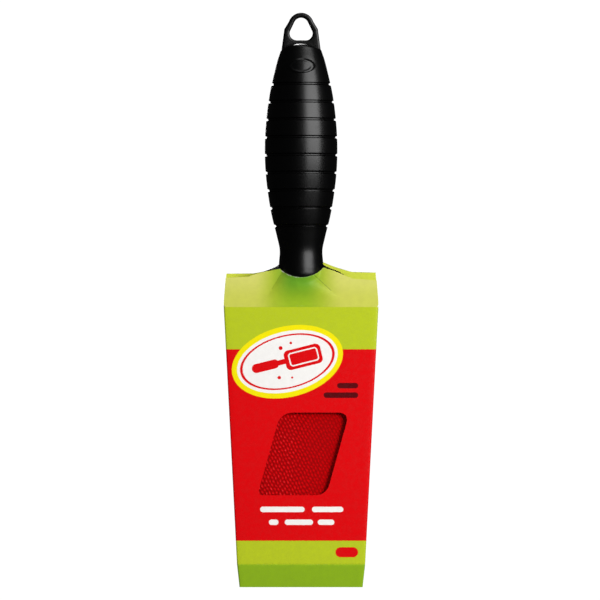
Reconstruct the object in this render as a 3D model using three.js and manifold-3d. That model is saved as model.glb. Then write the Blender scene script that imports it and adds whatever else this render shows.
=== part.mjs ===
// A double-sided fabric clothes brush in a folded card sleeve. Millimetres, +Z up along the handle.
// The origin is the top of the hanging hole, where a peg bears; the front faces -Y.

import * as THREE from "three";
import { mergeVertices } from "three/addons/utils/BufferGeometryUtils.js";
import Module from "manifold-3d";

const wasm = await Module();
wasm.setup();

// ---- driving dimensions: shared ----

const CLEARANCE = 0.3; // between two pieces that touch
const FAR = 200; // reach of a cutting tool past everything
const WELD = 1e-4; // points closer than this are one point

// ---- driving dimensions: handle ----

// Heights along the handle and the grip's outer radius there; a smooth curve joins them.
const GRIP_STATIONS = [
  [-14.6, 9.2],
  [-19.7, 10.9],
  [-25.2, 12.3],
  [-33.5, 14.2],
  [-47.4, 16.1],
  [-60, 16.75],
  [-70.9, 16.4],
  [-81, 15.3],
  [-92, 13.25],
  [-101, 11.0],
  [-107.5, 9.75],
  [-112.4, 10.1],
];
const DOME_TOP = -11.3; // the grip's rounded end, behind the loop
const NECK_FOOT = -114.5; // where the neck starts to round down into the paddle
const NECK_FOOT_RADIUS = 10.3;
const NECK_END = -119.6;
const NECK_END_RADIUS = 4.6;
const HANDLE_WALL = 2.2;
const HOLLOW_TOP = -19;
const HOLLOW_END = -109;
const DOME_STEPS = 5;
const NECK_FOOT_STEPS = 3;
const HOLLOW_STEPS = 9;
const SAMPLES_PER_STATION = 12;
const HEIGHTS_ABOVE_GROOVES = [-17, -19.7, -22.4, -25.2, -28]; // where the turned outline has points
const HEIGHTS_BELOW_GROOVES = [-103.2, -106, -109, -112.4];
const GRIP_SEGMENTS = 32;
const HOLLOW_SEGMENTS = 20;

const GROOVE_COUNT = 9;
const GROOVE_TOP = -30.8;
const GROOVE_PITCH = 8.16;
const GROOVE_WIDTH = 1.5;
const GROOVE_FLOOR = 0.6;
const GROOVE_DEPTH = 0.95;

const LOOP_THICKNESS = 5;
const LOOP_CROWN_RADIUS = 5.9;
const LOOP_CROWN_CENTRE = -3.7;
const LOOP_CROWN_END = 0.32; // radians from level to where the crown's arc ends
const LOOP_SHOULDER = [7.75, -5.4];
const LOOP_ROOT = [9.0, -14.6];
const LOOP_FOOT = [7.5, -21];
const HOLE_TOP_RADIUS = 2.9;
const HOLE_CORNER_RADIUS = 3.2;
const HOLE_CORNER_X = 2.1;
const HOLE_CORNER_Z = -7.3;
const HOLE_SIDE = 0.45; // radians from level to the outward normal of the hole's sides

// ---- driving dimensions: paddle and its pads ----

const PADDLE_HALF_DEPTH = 5;
const PADDLE_EDGE = 1.3; // its outer edges are broken by this much
const SHOULDER_START = [10, -112.6];
const SHOULDER_FILLET = [10.6, -115.4];
const SHOULDER_END = [20.2, -117.6];
const PADDLE_WIDEST = [33, -133];
const PADDLE_BOTTOM_SIDE = [27.1, -249];
const PADDLE_BOTTOM = -256.5;
const PADDLE_BOTTOM_CORNER = 6;
const PADDLE_TOP_CORNER_DROP = 2; // the top corners' control point below the shoulders' ends
const PADDLE_CURVE_SEGMENTS = 5;
const FILLET_REACH = 1; // the shoulder fillet's control point outside its named point
const PADDLE_FACE_WALL = 2.8; // thickness of the frame's face around a pad
const PAD_LINE_TOP = [30.2, -136];
const PAD_LINE_BOTTOM = [24.4, -250];
const PAD_LINE_CORNER = 6;
const PAD_GAP = 0.5; // between the frame's opening and a pad

const PLATE_THICKNESS = 1.4;
const PLATE_LAP = 1.6; // how far the plate runs behind the frame
const FOAM_THICKNESS = 1.7;
const FABRIC_THICKNESS = 0.9;
const FABRIC_CROWN = 0.35; // how much thicker the fabric is in the middle
const FABRIC_CROWN_INSET = 3;
const PAD_CURVE_SEGMENTS = 4;

// ---- driving dimensions: card sleeve ----

const CARD = 0.5;
const SLEEVE_HALF_DEPTH = 9.2;
const TOP_FOLD = -132.9;
const TOP_FOLD_HALF_WIDTH = 35.6;
const BOTTOM_FOLD = -251.8;
const BOTTOM_FOLD_HALF_WIDTH = 29.5;
const BOTTOM_EDGE = -262.7;
const BOTTOM_EDGE_HALF_WIDTH = 28.4;
const BOTTOM_EDGE_HALF_DEPTH = 0.55;
const FLAP_LEAN = 0.15; // how far a closed top flap leans in for each millimetre of height
const FLAP_TIP_HALF_WIDTH = 34.4;
// Heights of each top flap's free edge at its outer corners, above the shoulders' ends and beside the neck.
const FRONT_FLAP_EDGE = { corner: -120.4, knee: -118.2, peak: -115.8 };
const REAR_FLAP_EDGE = { corner: -117.9, knee: -116.6, peak: -112.8 };
const NECK_NOTCH_RADIUS = 14.5;
const NECK_NOTCH_BOTTOM = -119.8;
const GUSSET_TIP = -121.5;
const GUSSET_INSET = 0.6; // how far a gusset tip stays inside the flaps
const GUSSET_BOTTOM_GAP = 2; // between the side panels' bottom points and the sleeve's bottom edge
const WINDOW_TOP = -182.3;
const WINDOW_BOTTOM = -220.0;
const WINDOW_TOP_LEFT = -9.5;
const WINDOW_WIDTH = 31.7;
const WINDOW_SLANT = 10.6; // how far the window leans left from its top to its bottom
const WINDOW_CORNER = 3;
const WINDOW_CURVE_SEGMENTS = 5;
const NOTCH_CURVE_SEGMENTS = 24;
const GLUE_TAB_HALF_WIDTH = 6.5;
const GLUE_TAB_TOP = -138;
const GLUE_TAB_BOTTOM = -247;

// ---- materials ----

const plastic = new THREE.MeshStandardMaterial({ color: 0x111112, roughness: 0.42, metalness: 0 });
const plate = new THREE.MeshStandardMaterial({ color: 0x1d1d1f, roughness: 0.6, metalness: 0 });
const foam = new THREE.MeshStandardMaterial({ color: 0xcfc8b4, roughness: 0.95, metalness: 0 });
const fabric = new THREE.MeshStandardMaterial({ color: 0xb00a12, roughness: 0.9, metalness: 0 });
const card = new THREE.MeshStandardMaterial({ color: 0xb4c826, roughness: 0.45, metalness: 0 });

// ---- solids: three.js shapes in, closed solids out ----

function solidOf(geometry) {
  const bare = geometry.clone();
  bare.deleteAttribute("normal");
  bare.deleteAttribute("uv");
  const merged = mergeVertices(bare, WELD);
  return new wasm.Manifold(
    new wasm.Mesh({
      numProp: 3,
      vertProperties: merged.getAttribute("position").array,
      triVerts: new Uint32Array(merged.index.array),
    }),
  );
}

function geometryOf(solid) {
  const mesh = solid.getMesh();
  const geometry = new THREE.BufferGeometry();
  geometry.setAttribute("position", new THREE.BufferAttribute(new Float32Array(mesh.vertProperties), 3));
  geometry.setIndex(new THREE.BufferAttribute(mesh.triVerts, 1));
  const flat = geometry.toNonIndexed();
  flat.computeVertexNormals();
  return flat;
}

// A shape drawn in X and Z, seen from the front, as thick as yFront to yBack.
function frontExtrusion(shape, yFront, yBack, curveSegments = 8) {
  const geometry = new THREE.ExtrudeGeometry(shape, {
    depth: yBack - yFront,
    bevelEnabled: false,
    curveSegments,
  });
  geometry.rotateX(Math.PI / 2);
  geometry.translate(0, yBack, 0);
  return solidOf(geometry);
}

// A shape drawn in Y and Z, seen from the side, running from xLeft to xRight.
function sideExtrusion(shape, xLeft, xRight) {
  const geometry = new THREE.ExtrudeGeometry(shape, {
    depth: xRight - xLeft,
    bevelEnabled: false,
  });
  geometry.applyMatrix4(
    new THREE.Matrix4().makeBasis(
      new THREE.Vector3(0, 1, 0),
      new THREE.Vector3(0, 0, 1),
      new THREE.Vector3(1, 0, 0),
    ),
  );
  geometry.translate(xLeft, 0, 0);
  return solidOf(geometry);
}

function turned(profile, segments) {
  const geometry = new THREE.LatheGeometry(profile, segments);
  geometry.rotateX(Math.PI / 2);
  return solidOf(geometry);
}

function block(xMin, xMax, yMin, yMax, zMin, zMax) {
  const geometry = new THREE.BoxGeometry(xMax - xMin, yMax - yMin, zMax - zMin);
  geometry.translate((xMin + xMax) / 2, (yMin + yMax) / 2, (zMin + zMax) / 2);
  return solidOf(geometry);
}

function polygon(points) {
  return new THREE.Shape(points.map(([a, b]) => new THREE.Vector2(a, b)));
}

// A polygon whose corners are rounded by one radius.
function roundedPolygon(points, radius) {
  const shape = new THREE.Shape();
  const corners = points.map(([a, b]) => new THREE.Vector2(a, b));
  corners.forEach((corner, i) => {
    const before = corners[(i + corners.length - 1) % corners.length];
    const after = corners[(i + 1) % corners.length];
    const inward = before.clone().sub(corner).normalize().multiplyScalar(radius).add(corner);
    const outward = after.clone().sub(corner).normalize().multiplyScalar(radius).add(corner);
    if (i === 0) {
      shape.moveTo(inward.x, inward.y);
    } else {
      shape.lineTo(inward.x, inward.y);
    }
    shape.quadraticCurveTo(corner.x, corner.y, outward.x, outward.y);
  });
  shape.closePath();
  return shape;
}

function mirroredInX(points) {
  const left = points.map(([x, z]) => [-x, z]).reverse();
  return [...points, ...left];
}

const frontHalf = block(-FAR, FAR, -FAR, -CLEARANCE / 2, -2 * FAR, FAR);
const rearHalf = block(-FAR, FAR, CLEARANCE / 2, FAR, -2 * FAR, FAR);

// ---- handle ----

const gripCurve = new THREE.SplineCurve(GRIP_STATIONS.map(([z, r]) => new THREE.Vector2(z, r)));
const gripSamples = gripCurve.getPoints(GRIP_STATIONS.length * SAMPLES_PER_STATION);

function gripRadius(z) {
  const next = Math.max(1, gripSamples.findIndex((sample) => sample.x <= z));
  const above = gripSamples[next - 1];
  const below = gripSamples[next];
  const share = (z - above.x) / (below.x - above.x);
  return above.y + share * (below.y - above.y);
}

// The grip's outline from its domed top down to the neck's foot, with the ring grooves.
function gripProfile() {
  const profile = [];
  const domeRadius = GRIP_STATIONS[0][1];
  const domeHeight = DOME_TOP - GRIP_STATIONS[0][0];
  for (let i = 0; i <= DOME_STEPS; i++) {
    const turn = (i / DOME_STEPS) * (Math.PI / 2);
    const height = GRIP_STATIONS[0][0] + domeHeight * Math.cos(turn);
    profile.push(new THREE.Vector2(domeRadius * Math.sin(turn), height));
  }
  for (const z of HEIGHTS_ABOVE_GROOVES) {
    profile.push(new THREE.Vector2(gripRadius(z), z));
  }
  for (let k = 0; k < GROOVE_COUNT; k++) {
    const middle = GROOVE_TOP - k * GROOVE_PITCH;
    const radius = gripRadius(middle);
    profile.push(new THREE.Vector2(radius, middle + GROOVE_WIDTH / 2));
    profile.push(new THREE.Vector2(radius - GROOVE_DEPTH, middle + GROOVE_FLOOR / 2));
    profile.push(new THREE.Vector2(radius - GROOVE_DEPTH, middle - GROOVE_FLOOR / 2));
    profile.push(new THREE.Vector2(radius, middle - GROOVE_WIDTH / 2));
    profile.push(new THREE.Vector2(gripRadius(middle - GROOVE_PITCH / 2), middle - GROOVE_PITCH / 2));
  }
  for (const z of HEIGHTS_BELOW_GROOVES) {
    profile.push(new THREE.Vector2(gripRadius(z), z));
  }
  for (let i = 0; i <= NECK_FOOT_STEPS; i++) {
    const turn = (i / NECK_FOOT_STEPS) * (Math.PI / 2);
    const radius = NECK_END_RADIUS + (NECK_FOOT_RADIUS - NECK_END_RADIUS) * Math.cos(turn);
    profile.push(new THREE.Vector2(radius, NECK_FOOT + (NECK_END - NECK_FOOT) * Math.sin(turn)));
  }
  profile.push(new THREE.Vector2(0, NECK_END));
  return profile.reverse();
}

function hollowProfile() {
  const profile = [new THREE.Vector2(0, HOLLOW_TOP)];
  for (let i = 0; i <= HOLLOW_STEPS; i++) {
    const z = HOLLOW_TOP + ((HOLLOW_END - HOLLOW_TOP) * i) / HOLLOW_STEPS;
    profile.push(new THREE.Vector2(gripRadius(z) - HANDLE_WALL - GROOVE_DEPTH, z));
  }
  profile.push(new THREE.Vector2(0, HOLLOW_END));
  return profile.reverse();
}

function loopShape() {
  const shape = new THREE.Shape();
  shape.moveTo(LOOP_FOOT[0], LOOP_FOOT[1]);
  shape.lineTo(LOOP_ROOT[0], LOOP_ROOT[1]);
  shape.lineTo(LOOP_SHOULDER[0], LOOP_SHOULDER[1]);
  shape.absarc(0, LOOP_CROWN_CENTRE, LOOP_CROWN_RADIUS, LOOP_CROWN_END, Math.PI - LOOP_CROWN_END, false);
  shape.lineTo(-LOOP_SHOULDER[0], LOOP_SHOULDER[1]);
  shape.lineTo(-LOOP_ROOT[0], LOOP_ROOT[1]);
  shape.lineTo(-LOOP_FOOT[0], LOOP_FOOT[1]);
  return shape;
}

// A triangle with three round corners, point up; its top is the origin.
function hangingHoleShape() {
  const shape = new THREE.Shape();
  const otherSide = Math.PI - HOLE_SIDE;
  shape.absarc(0, -HOLE_TOP_RADIUS, HOLE_TOP_RADIUS, HOLE_SIDE, otherSide, false);
  shape.absarc(-HOLE_CORNER_X, HOLE_CORNER_Z, HOLE_CORNER_RADIUS, otherSide, 1.5 * Math.PI, false);
  shape.absarc(HOLE_CORNER_X, HOLE_CORNER_Z, HOLE_CORNER_RADIUS, -0.5 * Math.PI, HOLE_SIDE, false);
  return shape;
}

// ---- paddle ----

// The paddle's outline, smaller by the inset all round.
function paddleShape(inset) {
  const shape = new THREE.Shape();
  const [startX, startZ] = SHOULDER_START;
  const [filletX, filletZ] = SHOULDER_FILLET;
  const [endX, endZ] = SHOULDER_END;
  const [wideX, wideZ] = PADDLE_WIDEST;
  const [sideX, sideZ] = PADDLE_BOTTOM_SIDE;
  const rightHalf = (sign) => [
    [sign * (wideX - inset), wideZ],
    [sign * (wideX - inset), endZ - PADDLE_TOP_CORNER_DROP - inset],
    [sign * endX, endZ - inset],
  ];
  const bottomZ = PADDLE_BOTTOM + inset;
  shape.moveTo(sideX - PADDLE_BOTTOM_CORNER, bottomZ);
  shape.quadraticCurveTo(sideX - inset, bottomZ, sideX - inset, sideZ);
  shape.lineTo(...rightHalf(1)[0]);
  shape.quadraticCurveTo(...rightHalf(1)[1], ...rightHalf(1)[2]);
  shape.quadraticCurveTo(filletX + FILLET_REACH, filletZ - inset, startX - inset, startZ - inset);
  shape.lineTo(-startX + inset, startZ - inset);
  shape.quadraticCurveTo(-filletX - FILLET_REACH, filletZ - inset, ...rightHalf(-1)[2]);
  shape.quadraticCurveTo(...rightHalf(-1)[1], ...rightHalf(-1)[0]);
  shape.lineTo(-sideX + inset, sideZ);
  shape.quadraticCurveTo(-sideX + inset, bottomZ, -sideX + PADDLE_BOTTOM_CORNER, bottomZ);
  return shape;
}

// The pad opening's outline, larger by the outset all round.
function padShape(outset) {
  const [topX, topZ] = PAD_LINE_TOP;
  const [bottomX, bottomZ] = PAD_LINE_BOTTOM;
  const right = [
    [bottomX + outset, bottomZ - outset],
    [topX + outset, topZ + outset],
  ];
  return roundedPolygon(mirroredInX(right), PAD_LINE_CORNER);
}

function paddleSolid() {
  const coreHalfDepth = PADDLE_HALF_DEPTH - PADDLE_EDGE;
  const core = frontExtrusion(paddleShape(0), -coreHalfDepth, coreHalfDepth, PADDLE_CURVE_SEGMENTS);
  const faces = frontExtrusion(
    paddleShape(PADDLE_EDGE),
    -PADDLE_HALF_DEPTH,
    PADDLE_HALF_DEPTH,
    PADDLE_CURVE_SEGMENTS,
  );
  return core.add(faces);
}

function wholeShell() {
  const outside = turned(gripProfile(), GRIP_SEGMENTS)
    .add(frontExtrusion(loopShape(), -LOOP_THICKNESS / 2, LOOP_THICKNESS / 2))
    .add(paddleSolid());
  const platePocket = PADDLE_HALF_DEPTH - PADDLE_FACE_WALL;
  return outside
    .subtract(turned(hollowProfile(), HOLLOW_SEGMENTS))
    .subtract(frontExtrusion(hangingHoleShape(), -FAR, FAR))
    .subtract(frontExtrusion(padShape(PLATE_LAP + CLEARANCE), -platePocket, platePocket))
    .subtract(frontExtrusion(padShape(0), -FAR, FAR));
}

// ---- pads: plate, foam and fabric, on the front at side -1 and on the rear at side 1 ----

function padLayer(outset, innerDepth, outerDepth, side) {
  const [near, far] = side < 0 ? [-outerDepth, -innerDepth] : [innerDepth, outerDepth];
  return frontExtrusion(padShape(outset), near, far, PAD_CURVE_SEGMENTS);
}

// Fabric stretched over the foam: thicker in the middle, with one step down to its edge.
function fabricSolid(innerDepth, side) {
  const edgeDepth = innerDepth + FABRIC_THICKNESS;
  const edge = padLayer(-PAD_GAP, innerDepth, edgeDepth, side);
  const crown = padLayer(-PAD_GAP - FABRIC_CROWN_INSET, innerDepth, edgeDepth + FABRIC_CROWN, side);
  return edge.add(crown);
}

// ---- card sleeve ----

// Every panel is the sleeve's front outline, cut to one face of its side outline.
function sleeveFrontShape(inset, edge = REAR_FLAP_EDGE) {
  const right = [
    [BOTTOM_EDGE_HALF_WIDTH - inset, BOTTOM_EDGE],
    [BOTTOM_FOLD_HALF_WIDTH - inset, BOTTOM_FOLD],
    [TOP_FOLD_HALF_WIDTH - inset, TOP_FOLD],
    [FLAP_TIP_HALF_WIDTH - inset, edge.corner],
    [SHOULDER_END[0], edge.knee],
    [SHOULDER_START[0], edge.peak],
  ];
  return polygon(mirroredInX(right));
}

// Half the sleeve's outer depth at a height on the closed top flaps.
function flapHalfDepth(z) {
  return SLEEVE_HALF_DEPTH - FLAP_LEAN * (z - TOP_FOLD);
}

function windowShape() {
  const right = WINDOW_TOP_LEFT + WINDOW_WIDTH;
  const points = [
    [WINDOW_TOP_LEFT, WINDOW_TOP],
    [WINDOW_TOP_LEFT - WINDOW_SLANT, WINDOW_BOTTOM],
    [right - WINDOW_SLANT, WINDOW_BOTTOM],
    [right, WINDOW_TOP],
  ];
  return roundedPolygon(points, WINDOW_CORNER);
}

// A card plate seen from the side, from (depth, z) to (depth, z), with its thickness inwards.
function cardSection(side, start, end) {
  const along = new THREE.Vector2(end[0] - start[0], end[1] - start[1]).normalize();
  const inward = new THREE.Vector2(-Math.abs(along.y), Math.sign(along.y) * along.x).multiplyScalar(CARD);
  const points = [
    [side * start[0], start[1]],
    [side * end[0], end[1]],
    [side * (end[0] + inward.x), end[1] + inward.y],
    [side * (start[0] + inward.x), start[1] + inward.y],
  ];
  if (THREE.ShapeUtils.area(points.map(([a, b]) => new THREE.Vector2(a, b))) < 0) points.reverse();
  return sideExtrusion(polygon(points), -FAR, FAR);
}

function cardPlate(side, start, end, edge) {
  return cardSection(side, start, end).intersect(frontExtrusion(sleeveFrontShape(0, edge), -FAR, FAR));
}

function wallPanel(side) {
  const top = [SLEEVE_HALF_DEPTH, TOP_FOLD];
  const bottom = [SLEEVE_HALF_DEPTH, BOTTOM_FOLD];
  return cardPlate(side, top, bottom);
}

function bottomBevel(side) {
  const slope = (SLEEVE_HALF_DEPTH - BOTTOM_EDGE_HALF_DEPTH) / (BOTTOM_FOLD - BOTTOM_EDGE);
  const start = [SLEEVE_HALF_DEPTH - 2 * CLEARANCE * slope, BOTTOM_FOLD - 2 * CLEARANCE];
  return cardPlate(side, start, [BOTTOM_EDGE_HALF_DEPTH, BOTTOM_EDGE]);
}

// A top flap, from just above its crease to its free edge, with the arc that clears the neck.
function topFlap(side, edge) {
  const foot = TOP_FOLD + 2 * CLEARANCE;
  const head = edge.peak + CARD;
  const notch = new THREE.Shape();
  notch.absarc(0, NECK_NOTCH_BOTTOM + NECK_NOTCH_RADIUS, NECK_NOTCH_RADIUS, 0, 2 * Math.PI, false);
  const blank = cardPlate(side, [flapHalfDepth(foot), foot], [flapHalfDepth(head), head], edge);
  return blank.subtract(frontExtrusion(notch, -FAR, FAR, NOTCH_CURVE_SEGMENTS));
}

// A side panel with a gusset tip at each end, between the front and rear panels' inner faces.
function sidePanel(side) {
  const halfDepth = SLEEVE_HALF_DEPTH - CARD - CLEARANCE;
  const tipHalfDepth = flapHalfDepth(GUSSET_TIP) - CARD - GUSSET_INSET;
  const outline = polygon([
    [-halfDepth, TOP_FOLD],
    [-halfDepth, BOTTOM_FOLD],
    [-GUSSET_INSET / 2, BOTTOM_EDGE + GUSSET_BOTTOM_GAP],
    [GUSSET_INSET / 2, BOTTOM_EDGE + GUSSET_BOTTOM_GAP],
    [halfDepth, BOTTOM_FOLD],
    [halfDepth, TOP_FOLD],
    [tipHalfDepth, GUSSET_TIP],
    [-tipHalfDepth, GUSSET_TIP],
  ]);
  const skin = frontExtrusion(sleeveFrontShape(0), -FAR, FAR).subtract(
    frontExtrusion(sleeveFrontShape(CARD), -2 * FAR, 2 * FAR),
  );
  const [xLeft, xRight] = side < 0 ? [-FAR, 0] : [0, FAR];
  return skin.intersect(sideExtrusion(outline, xLeft, xRight));
}

// The strip that joins the blank's two ends, glued inside the left side panel.
function glueTab() {
  const inner = CARD + CLEARANCE;
  const band = frontExtrusion(sleeveFrontShape(inner), -GLUE_TAB_HALF_WIDTH, GLUE_TAB_HALF_WIDTH).subtract(
    frontExtrusion(sleeveFrontShape(inner + CARD), -FAR, FAR),
  );
  return band.intersect(block(-FAR, 0, -FAR, FAR, GLUE_TAB_BOTTOM, GLUE_TAB_TOP));
}

// ---- assembly ----

const brush = new THREE.Group();
const sleeve = new THREE.Group();
const assembly = new THREE.Group();
assembly.add(brush, sleeve);

function addPiece(group, name, solid, material) {
  const mesh = new THREE.Mesh(geometryOf(solid), material);
  mesh.name = name;
  group.add(mesh);
}

const shell = wholeShell();
addPiece(brush, "front_shell", shell.intersect(frontHalf), plastic);
addPiece(brush, "rear_shell", shell.intersect(rearHalf), plastic);

const plateInner = CLEARANCE / 2;
const plateOuter = plateInner + PLATE_THICKNESS;
const foamOuter = plateOuter + CLEARANCE + FOAM_THICKNESS;
for (const [face, side] of [
  ["front", -1],
  ["rear", 1],
]) {
  addPiece(brush, `${face}_pad_plate`, padLayer(PLATE_LAP, plateInner, plateOuter, side), plate);
  addPiece(brush, `${face}_foam`, padLayer(-PAD_GAP, plateOuter + CLEARANCE, foamOuter, side), foam);
  addPiece(brush, `${face}_fabric`, fabricSolid(foamOuter + CLEARANCE, side), fabric);
}

const windowCut = frontExtrusion(windowShape(), -FAR, 0, WINDOW_CURVE_SEGMENTS);
addPiece(sleeve, "carton_front_panel", wallPanel(-1).subtract(windowCut), card);
addPiece(sleeve, "carton_rear_panel", wallPanel(1), card);
addPiece(sleeve, "carton_left_side", sidePanel(-1), card);
addPiece(sleeve, "carton_right_side", sidePanel(1), card);
addPiece(sleeve, "carton_glue_tab", glueTab(), card);
addPiece(sleeve, "carton_front_bottom", bottomBevel(-1), card);
addPiece(sleeve, "carton_rear_bottom", bottomBevel(1), card);
addPiece(sleeve, "carton_front_flap", topFlap(-1, FRONT_FLAP_EDGE), card);
addPiece(sleeve, "carton_rear_flap", topFlap(1, REAR_FLAP_EDGE), card);

export default assembly;
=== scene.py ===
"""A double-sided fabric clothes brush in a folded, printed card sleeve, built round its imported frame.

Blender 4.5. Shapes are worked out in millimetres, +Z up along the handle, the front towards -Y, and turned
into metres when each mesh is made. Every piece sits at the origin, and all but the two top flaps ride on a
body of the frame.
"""

import math

import bmesh
import bpy
import numpy as np
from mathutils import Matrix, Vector


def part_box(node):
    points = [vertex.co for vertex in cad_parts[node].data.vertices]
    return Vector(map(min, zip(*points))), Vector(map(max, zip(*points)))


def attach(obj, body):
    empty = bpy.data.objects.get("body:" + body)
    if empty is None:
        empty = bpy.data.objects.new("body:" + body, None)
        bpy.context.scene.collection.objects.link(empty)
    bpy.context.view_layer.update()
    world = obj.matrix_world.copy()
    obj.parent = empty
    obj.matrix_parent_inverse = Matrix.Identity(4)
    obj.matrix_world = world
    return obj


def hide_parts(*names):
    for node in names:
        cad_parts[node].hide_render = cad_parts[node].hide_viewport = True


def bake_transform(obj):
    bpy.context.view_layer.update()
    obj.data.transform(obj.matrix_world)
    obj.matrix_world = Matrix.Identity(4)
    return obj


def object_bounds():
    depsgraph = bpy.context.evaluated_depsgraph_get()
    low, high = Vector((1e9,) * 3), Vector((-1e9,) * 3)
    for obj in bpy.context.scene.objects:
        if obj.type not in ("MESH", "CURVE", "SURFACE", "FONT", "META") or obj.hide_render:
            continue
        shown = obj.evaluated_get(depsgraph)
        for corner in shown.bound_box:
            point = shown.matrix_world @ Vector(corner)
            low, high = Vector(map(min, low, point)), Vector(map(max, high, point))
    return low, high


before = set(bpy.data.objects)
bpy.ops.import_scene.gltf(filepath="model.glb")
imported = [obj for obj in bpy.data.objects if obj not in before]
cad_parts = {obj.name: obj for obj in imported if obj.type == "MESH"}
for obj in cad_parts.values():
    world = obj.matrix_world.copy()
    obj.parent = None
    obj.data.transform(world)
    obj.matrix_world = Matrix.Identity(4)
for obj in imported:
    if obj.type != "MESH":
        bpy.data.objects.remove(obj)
cad_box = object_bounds()

MM = 0.001

# ---- sizes read from the frame, in millimetres ----


def box_mm(node):
    low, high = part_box(node)
    return low / MM, high / MM


panel_low, panel_high = box_mm("carton_front_panel")
bottom_low, bottom_high = box_mm("carton_front_bottom")
fabric_low, fabric_high = box_mm("front_fabric")
foam_low, foam_high = box_mm("front_foam")
shell_low, _ = box_mm("front_shell")

TOP_FOLD = panel_high.z
BOTTOM_FOLD = panel_low.z
BOTTOM_EDGE = bottom_low.z
SLEEVE_HALF_DEPTH = -panel_low.y
TOP_FOLD_HALF_WIDTH = panel_high.x
BOTTOM_FOLD_HALF_WIDTH = bottom_high.x
PADDLE_BOTTOM = shell_low.z

# ---- sizes of the handle ----

# Heights and radii of the handle's round form; its foot bulges on inside the flat paddle and fades out there.
GRIP_STATIONS = [
    (-11.5, 8.2),
    (-14.6, 9.2),
    (-19.7, 10.9),
    (-25.2, 12.3),
    (-33.5, 14.2),
    (-47.4, 16.1),
    (-60, 16.75),
    (-70.9, 16.4),
    (-81, 15.3),
    (-92, 13.4),
    (-101, 11.15),
    (-107.5, 9.85),
    (-112.4, 10.15),
    (-116, 10.4),
    (-119, 10.3),
    (-121, 9.5),
    (-123.5, 7.4),
    (-127, 5.0),
    (-133, 2.5),
]
DOME_TOP = -11.8
DOME_SIDE = -14.8  # height of the dome's edge at its left and right
DOME_FRONT = -12.95  # and at its front and rear
DOME_SIDE_ROUNDING = 0.7
DOME_FRONT_ROUNDING = 2.0
DOME_BLEND = 2  # how far below its side edge the dome's rounding still counts
GROOVE_COUNT = 9
GROOVE_TOP = -30.8
GROOVE_PITCH = 8.16
GROOVE_WIDTH = 1.5
GROOVE_DEPTH = 0.8
GROOVE_FLOOR = 0.3  # flat share of a groove's width
PARTING_GAP = 0.03
PARTING_BEVEL = 0.12
LOOP_PARTING_GAP = 0.045  # a little more, so that no faces of loop and grip lie in one plane

PADDLE_HALF_DEPTH = 5
PADDLE_EDGE_RADIUS = 1.1
# Heights between which round sections turn flat, the paddle takes over and the neck's bulge fades out.
SECTIONS_FLATTEN = (-109.5, -114.0)
PADDLE_BEGINS = (-112.0, -116.5)
NECK_FADES = (-127, -133)
NECK_BLEND = 2.2
SHOULDER_START = (10.3, -113.9)
SHOULDER_BEND = (11.3, -114.9)
SHOULDER_END = (17.0, -116.95)
PADDLE_CORNER = (27.8, -122.6)
PADDLE_WIDEST = (33, -136.5)
PADDLE_BOTTOM_SIDE = (27.1, -249)
PADDLE_BOTTOM_CORNER = 6

PAD_TOP = (30.2, -136)
PAD_BOTTOM = (24.4, -250)
PAD_CORNER = 6
PAD_GAP = 0.5
PLATE_POCKET_LAP = 1.9
PLATE_POCKET_DEPTH = 2.2
# The rolled edge of a pad's opening, as (depth below the paddle's face, distance outside the opening).
PAD_ROLL = [(0.8, 0), (0.45, 0.1), (0.18, 0.32), (0, 0.7), (-1.0, 2.2)]

EMBLEM_HEIGHT_Z = -22.7
EMBLEM_HALF_WIDTH = 6.2
EMBLEM_HALF_HEIGHT = 3.3
EMBLEM_RELIEF = 0.42
EMBLEM_MARGIN = 1.2  # how far out the raised oval is looked for, as a share of its size
EMBLEM_EDGE = (0.9, 1.06)  # where it falls away, as shares of its size
EMBLEM_MIDDLE = (0.66, 0.8)  # and where its lower middle ends
EMBLEM_MIDDLE_DROP = 0.45

LOOP_HALF_THICKNESS = 2.5
LOOP_EDGE_RADIUS = 0.9
LOOP_CROWN_RADIUS = 5.9
LOOP_CROWN_CENTRE = -3.7
LOOP_SHOULDER = (7.75, -5.4)
LOOP_ROOT = (9.0, -14.6)
LOOP_FOOT = (7.5, -19)
LOOP_CROWN_END = 0.32  # radians from level to where the crown's arc ends
LOOP_MIDDLE = (0, -5.9)  # a point inside the hole, from which rim and hole are divided alike
HOLE_TOP_RADIUS = 3.4
HOLE_CORNER_RADIUS = 3.2
HOLE_CORNER = (2.1, -7.3)
HOLE_SIDE = 0.45  # radians from level to the outward normal of the hole's sides

# ---- sizes of the card sleeve ----

CARD = 0.5
SLEEVE_CORNER_RADIUS = 0.9
BOTTOM_EDGE_HALF_WIDTH = 28.4
BOTTOM_EDGE_HALF_DEPTH = 0.6
FOLD_ROUNDING = 0.7
FLAP_LEAN = 0.15
FLAP_SEAM = 0.6  # how far below a top fold the flap's own card starts
FLAP_TIP_HALF_WIDTH = 34.4
FLAP_TIP_HEIGHT = -118.0
GUSSET_TIP = -121.5
GUSSET_GAP = 0.5  # between a gusset's tip and the flaps
PANEL_BULGE = 0.22  # how far the panels swell in their middle
FLAP_WING_LIFT = 0.25  # how far a flap's outer corners stand off
FLAP_WINGS = (8, 34)  # from where to where, across the flap, they lift
# The free edge of each flap, from its left corner to its right, as (x, height); the neck notch cuts it.
FRONT_FLAP_EDGE = [
    (-34.9, -120.0),
    (-24, -119.5),
    (-21.8, -118.5),
    (-17.5, -117.3),
    (-10, -115.9),
    (10, -115.1),
    (16, -117.1),
    (23.5, -120.4),
    (34.6, -121.2),
]
REAR_FLAP_EDGE = [
    (-34.9, -118.0),
    (-22, -117.9),
    (-17.5, -117.05),
    (-10, -115.6),
    (10, -112.6),
    (15.7, -114.9),
    (23.5, -117.2),
    (34.6, -117.5),
]
NOTCH_BOTTOM = -119.8
FRONT_NOTCH_RADIUS = 14.2
REAR_NOTCH_RADIUS = 10.9
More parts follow.
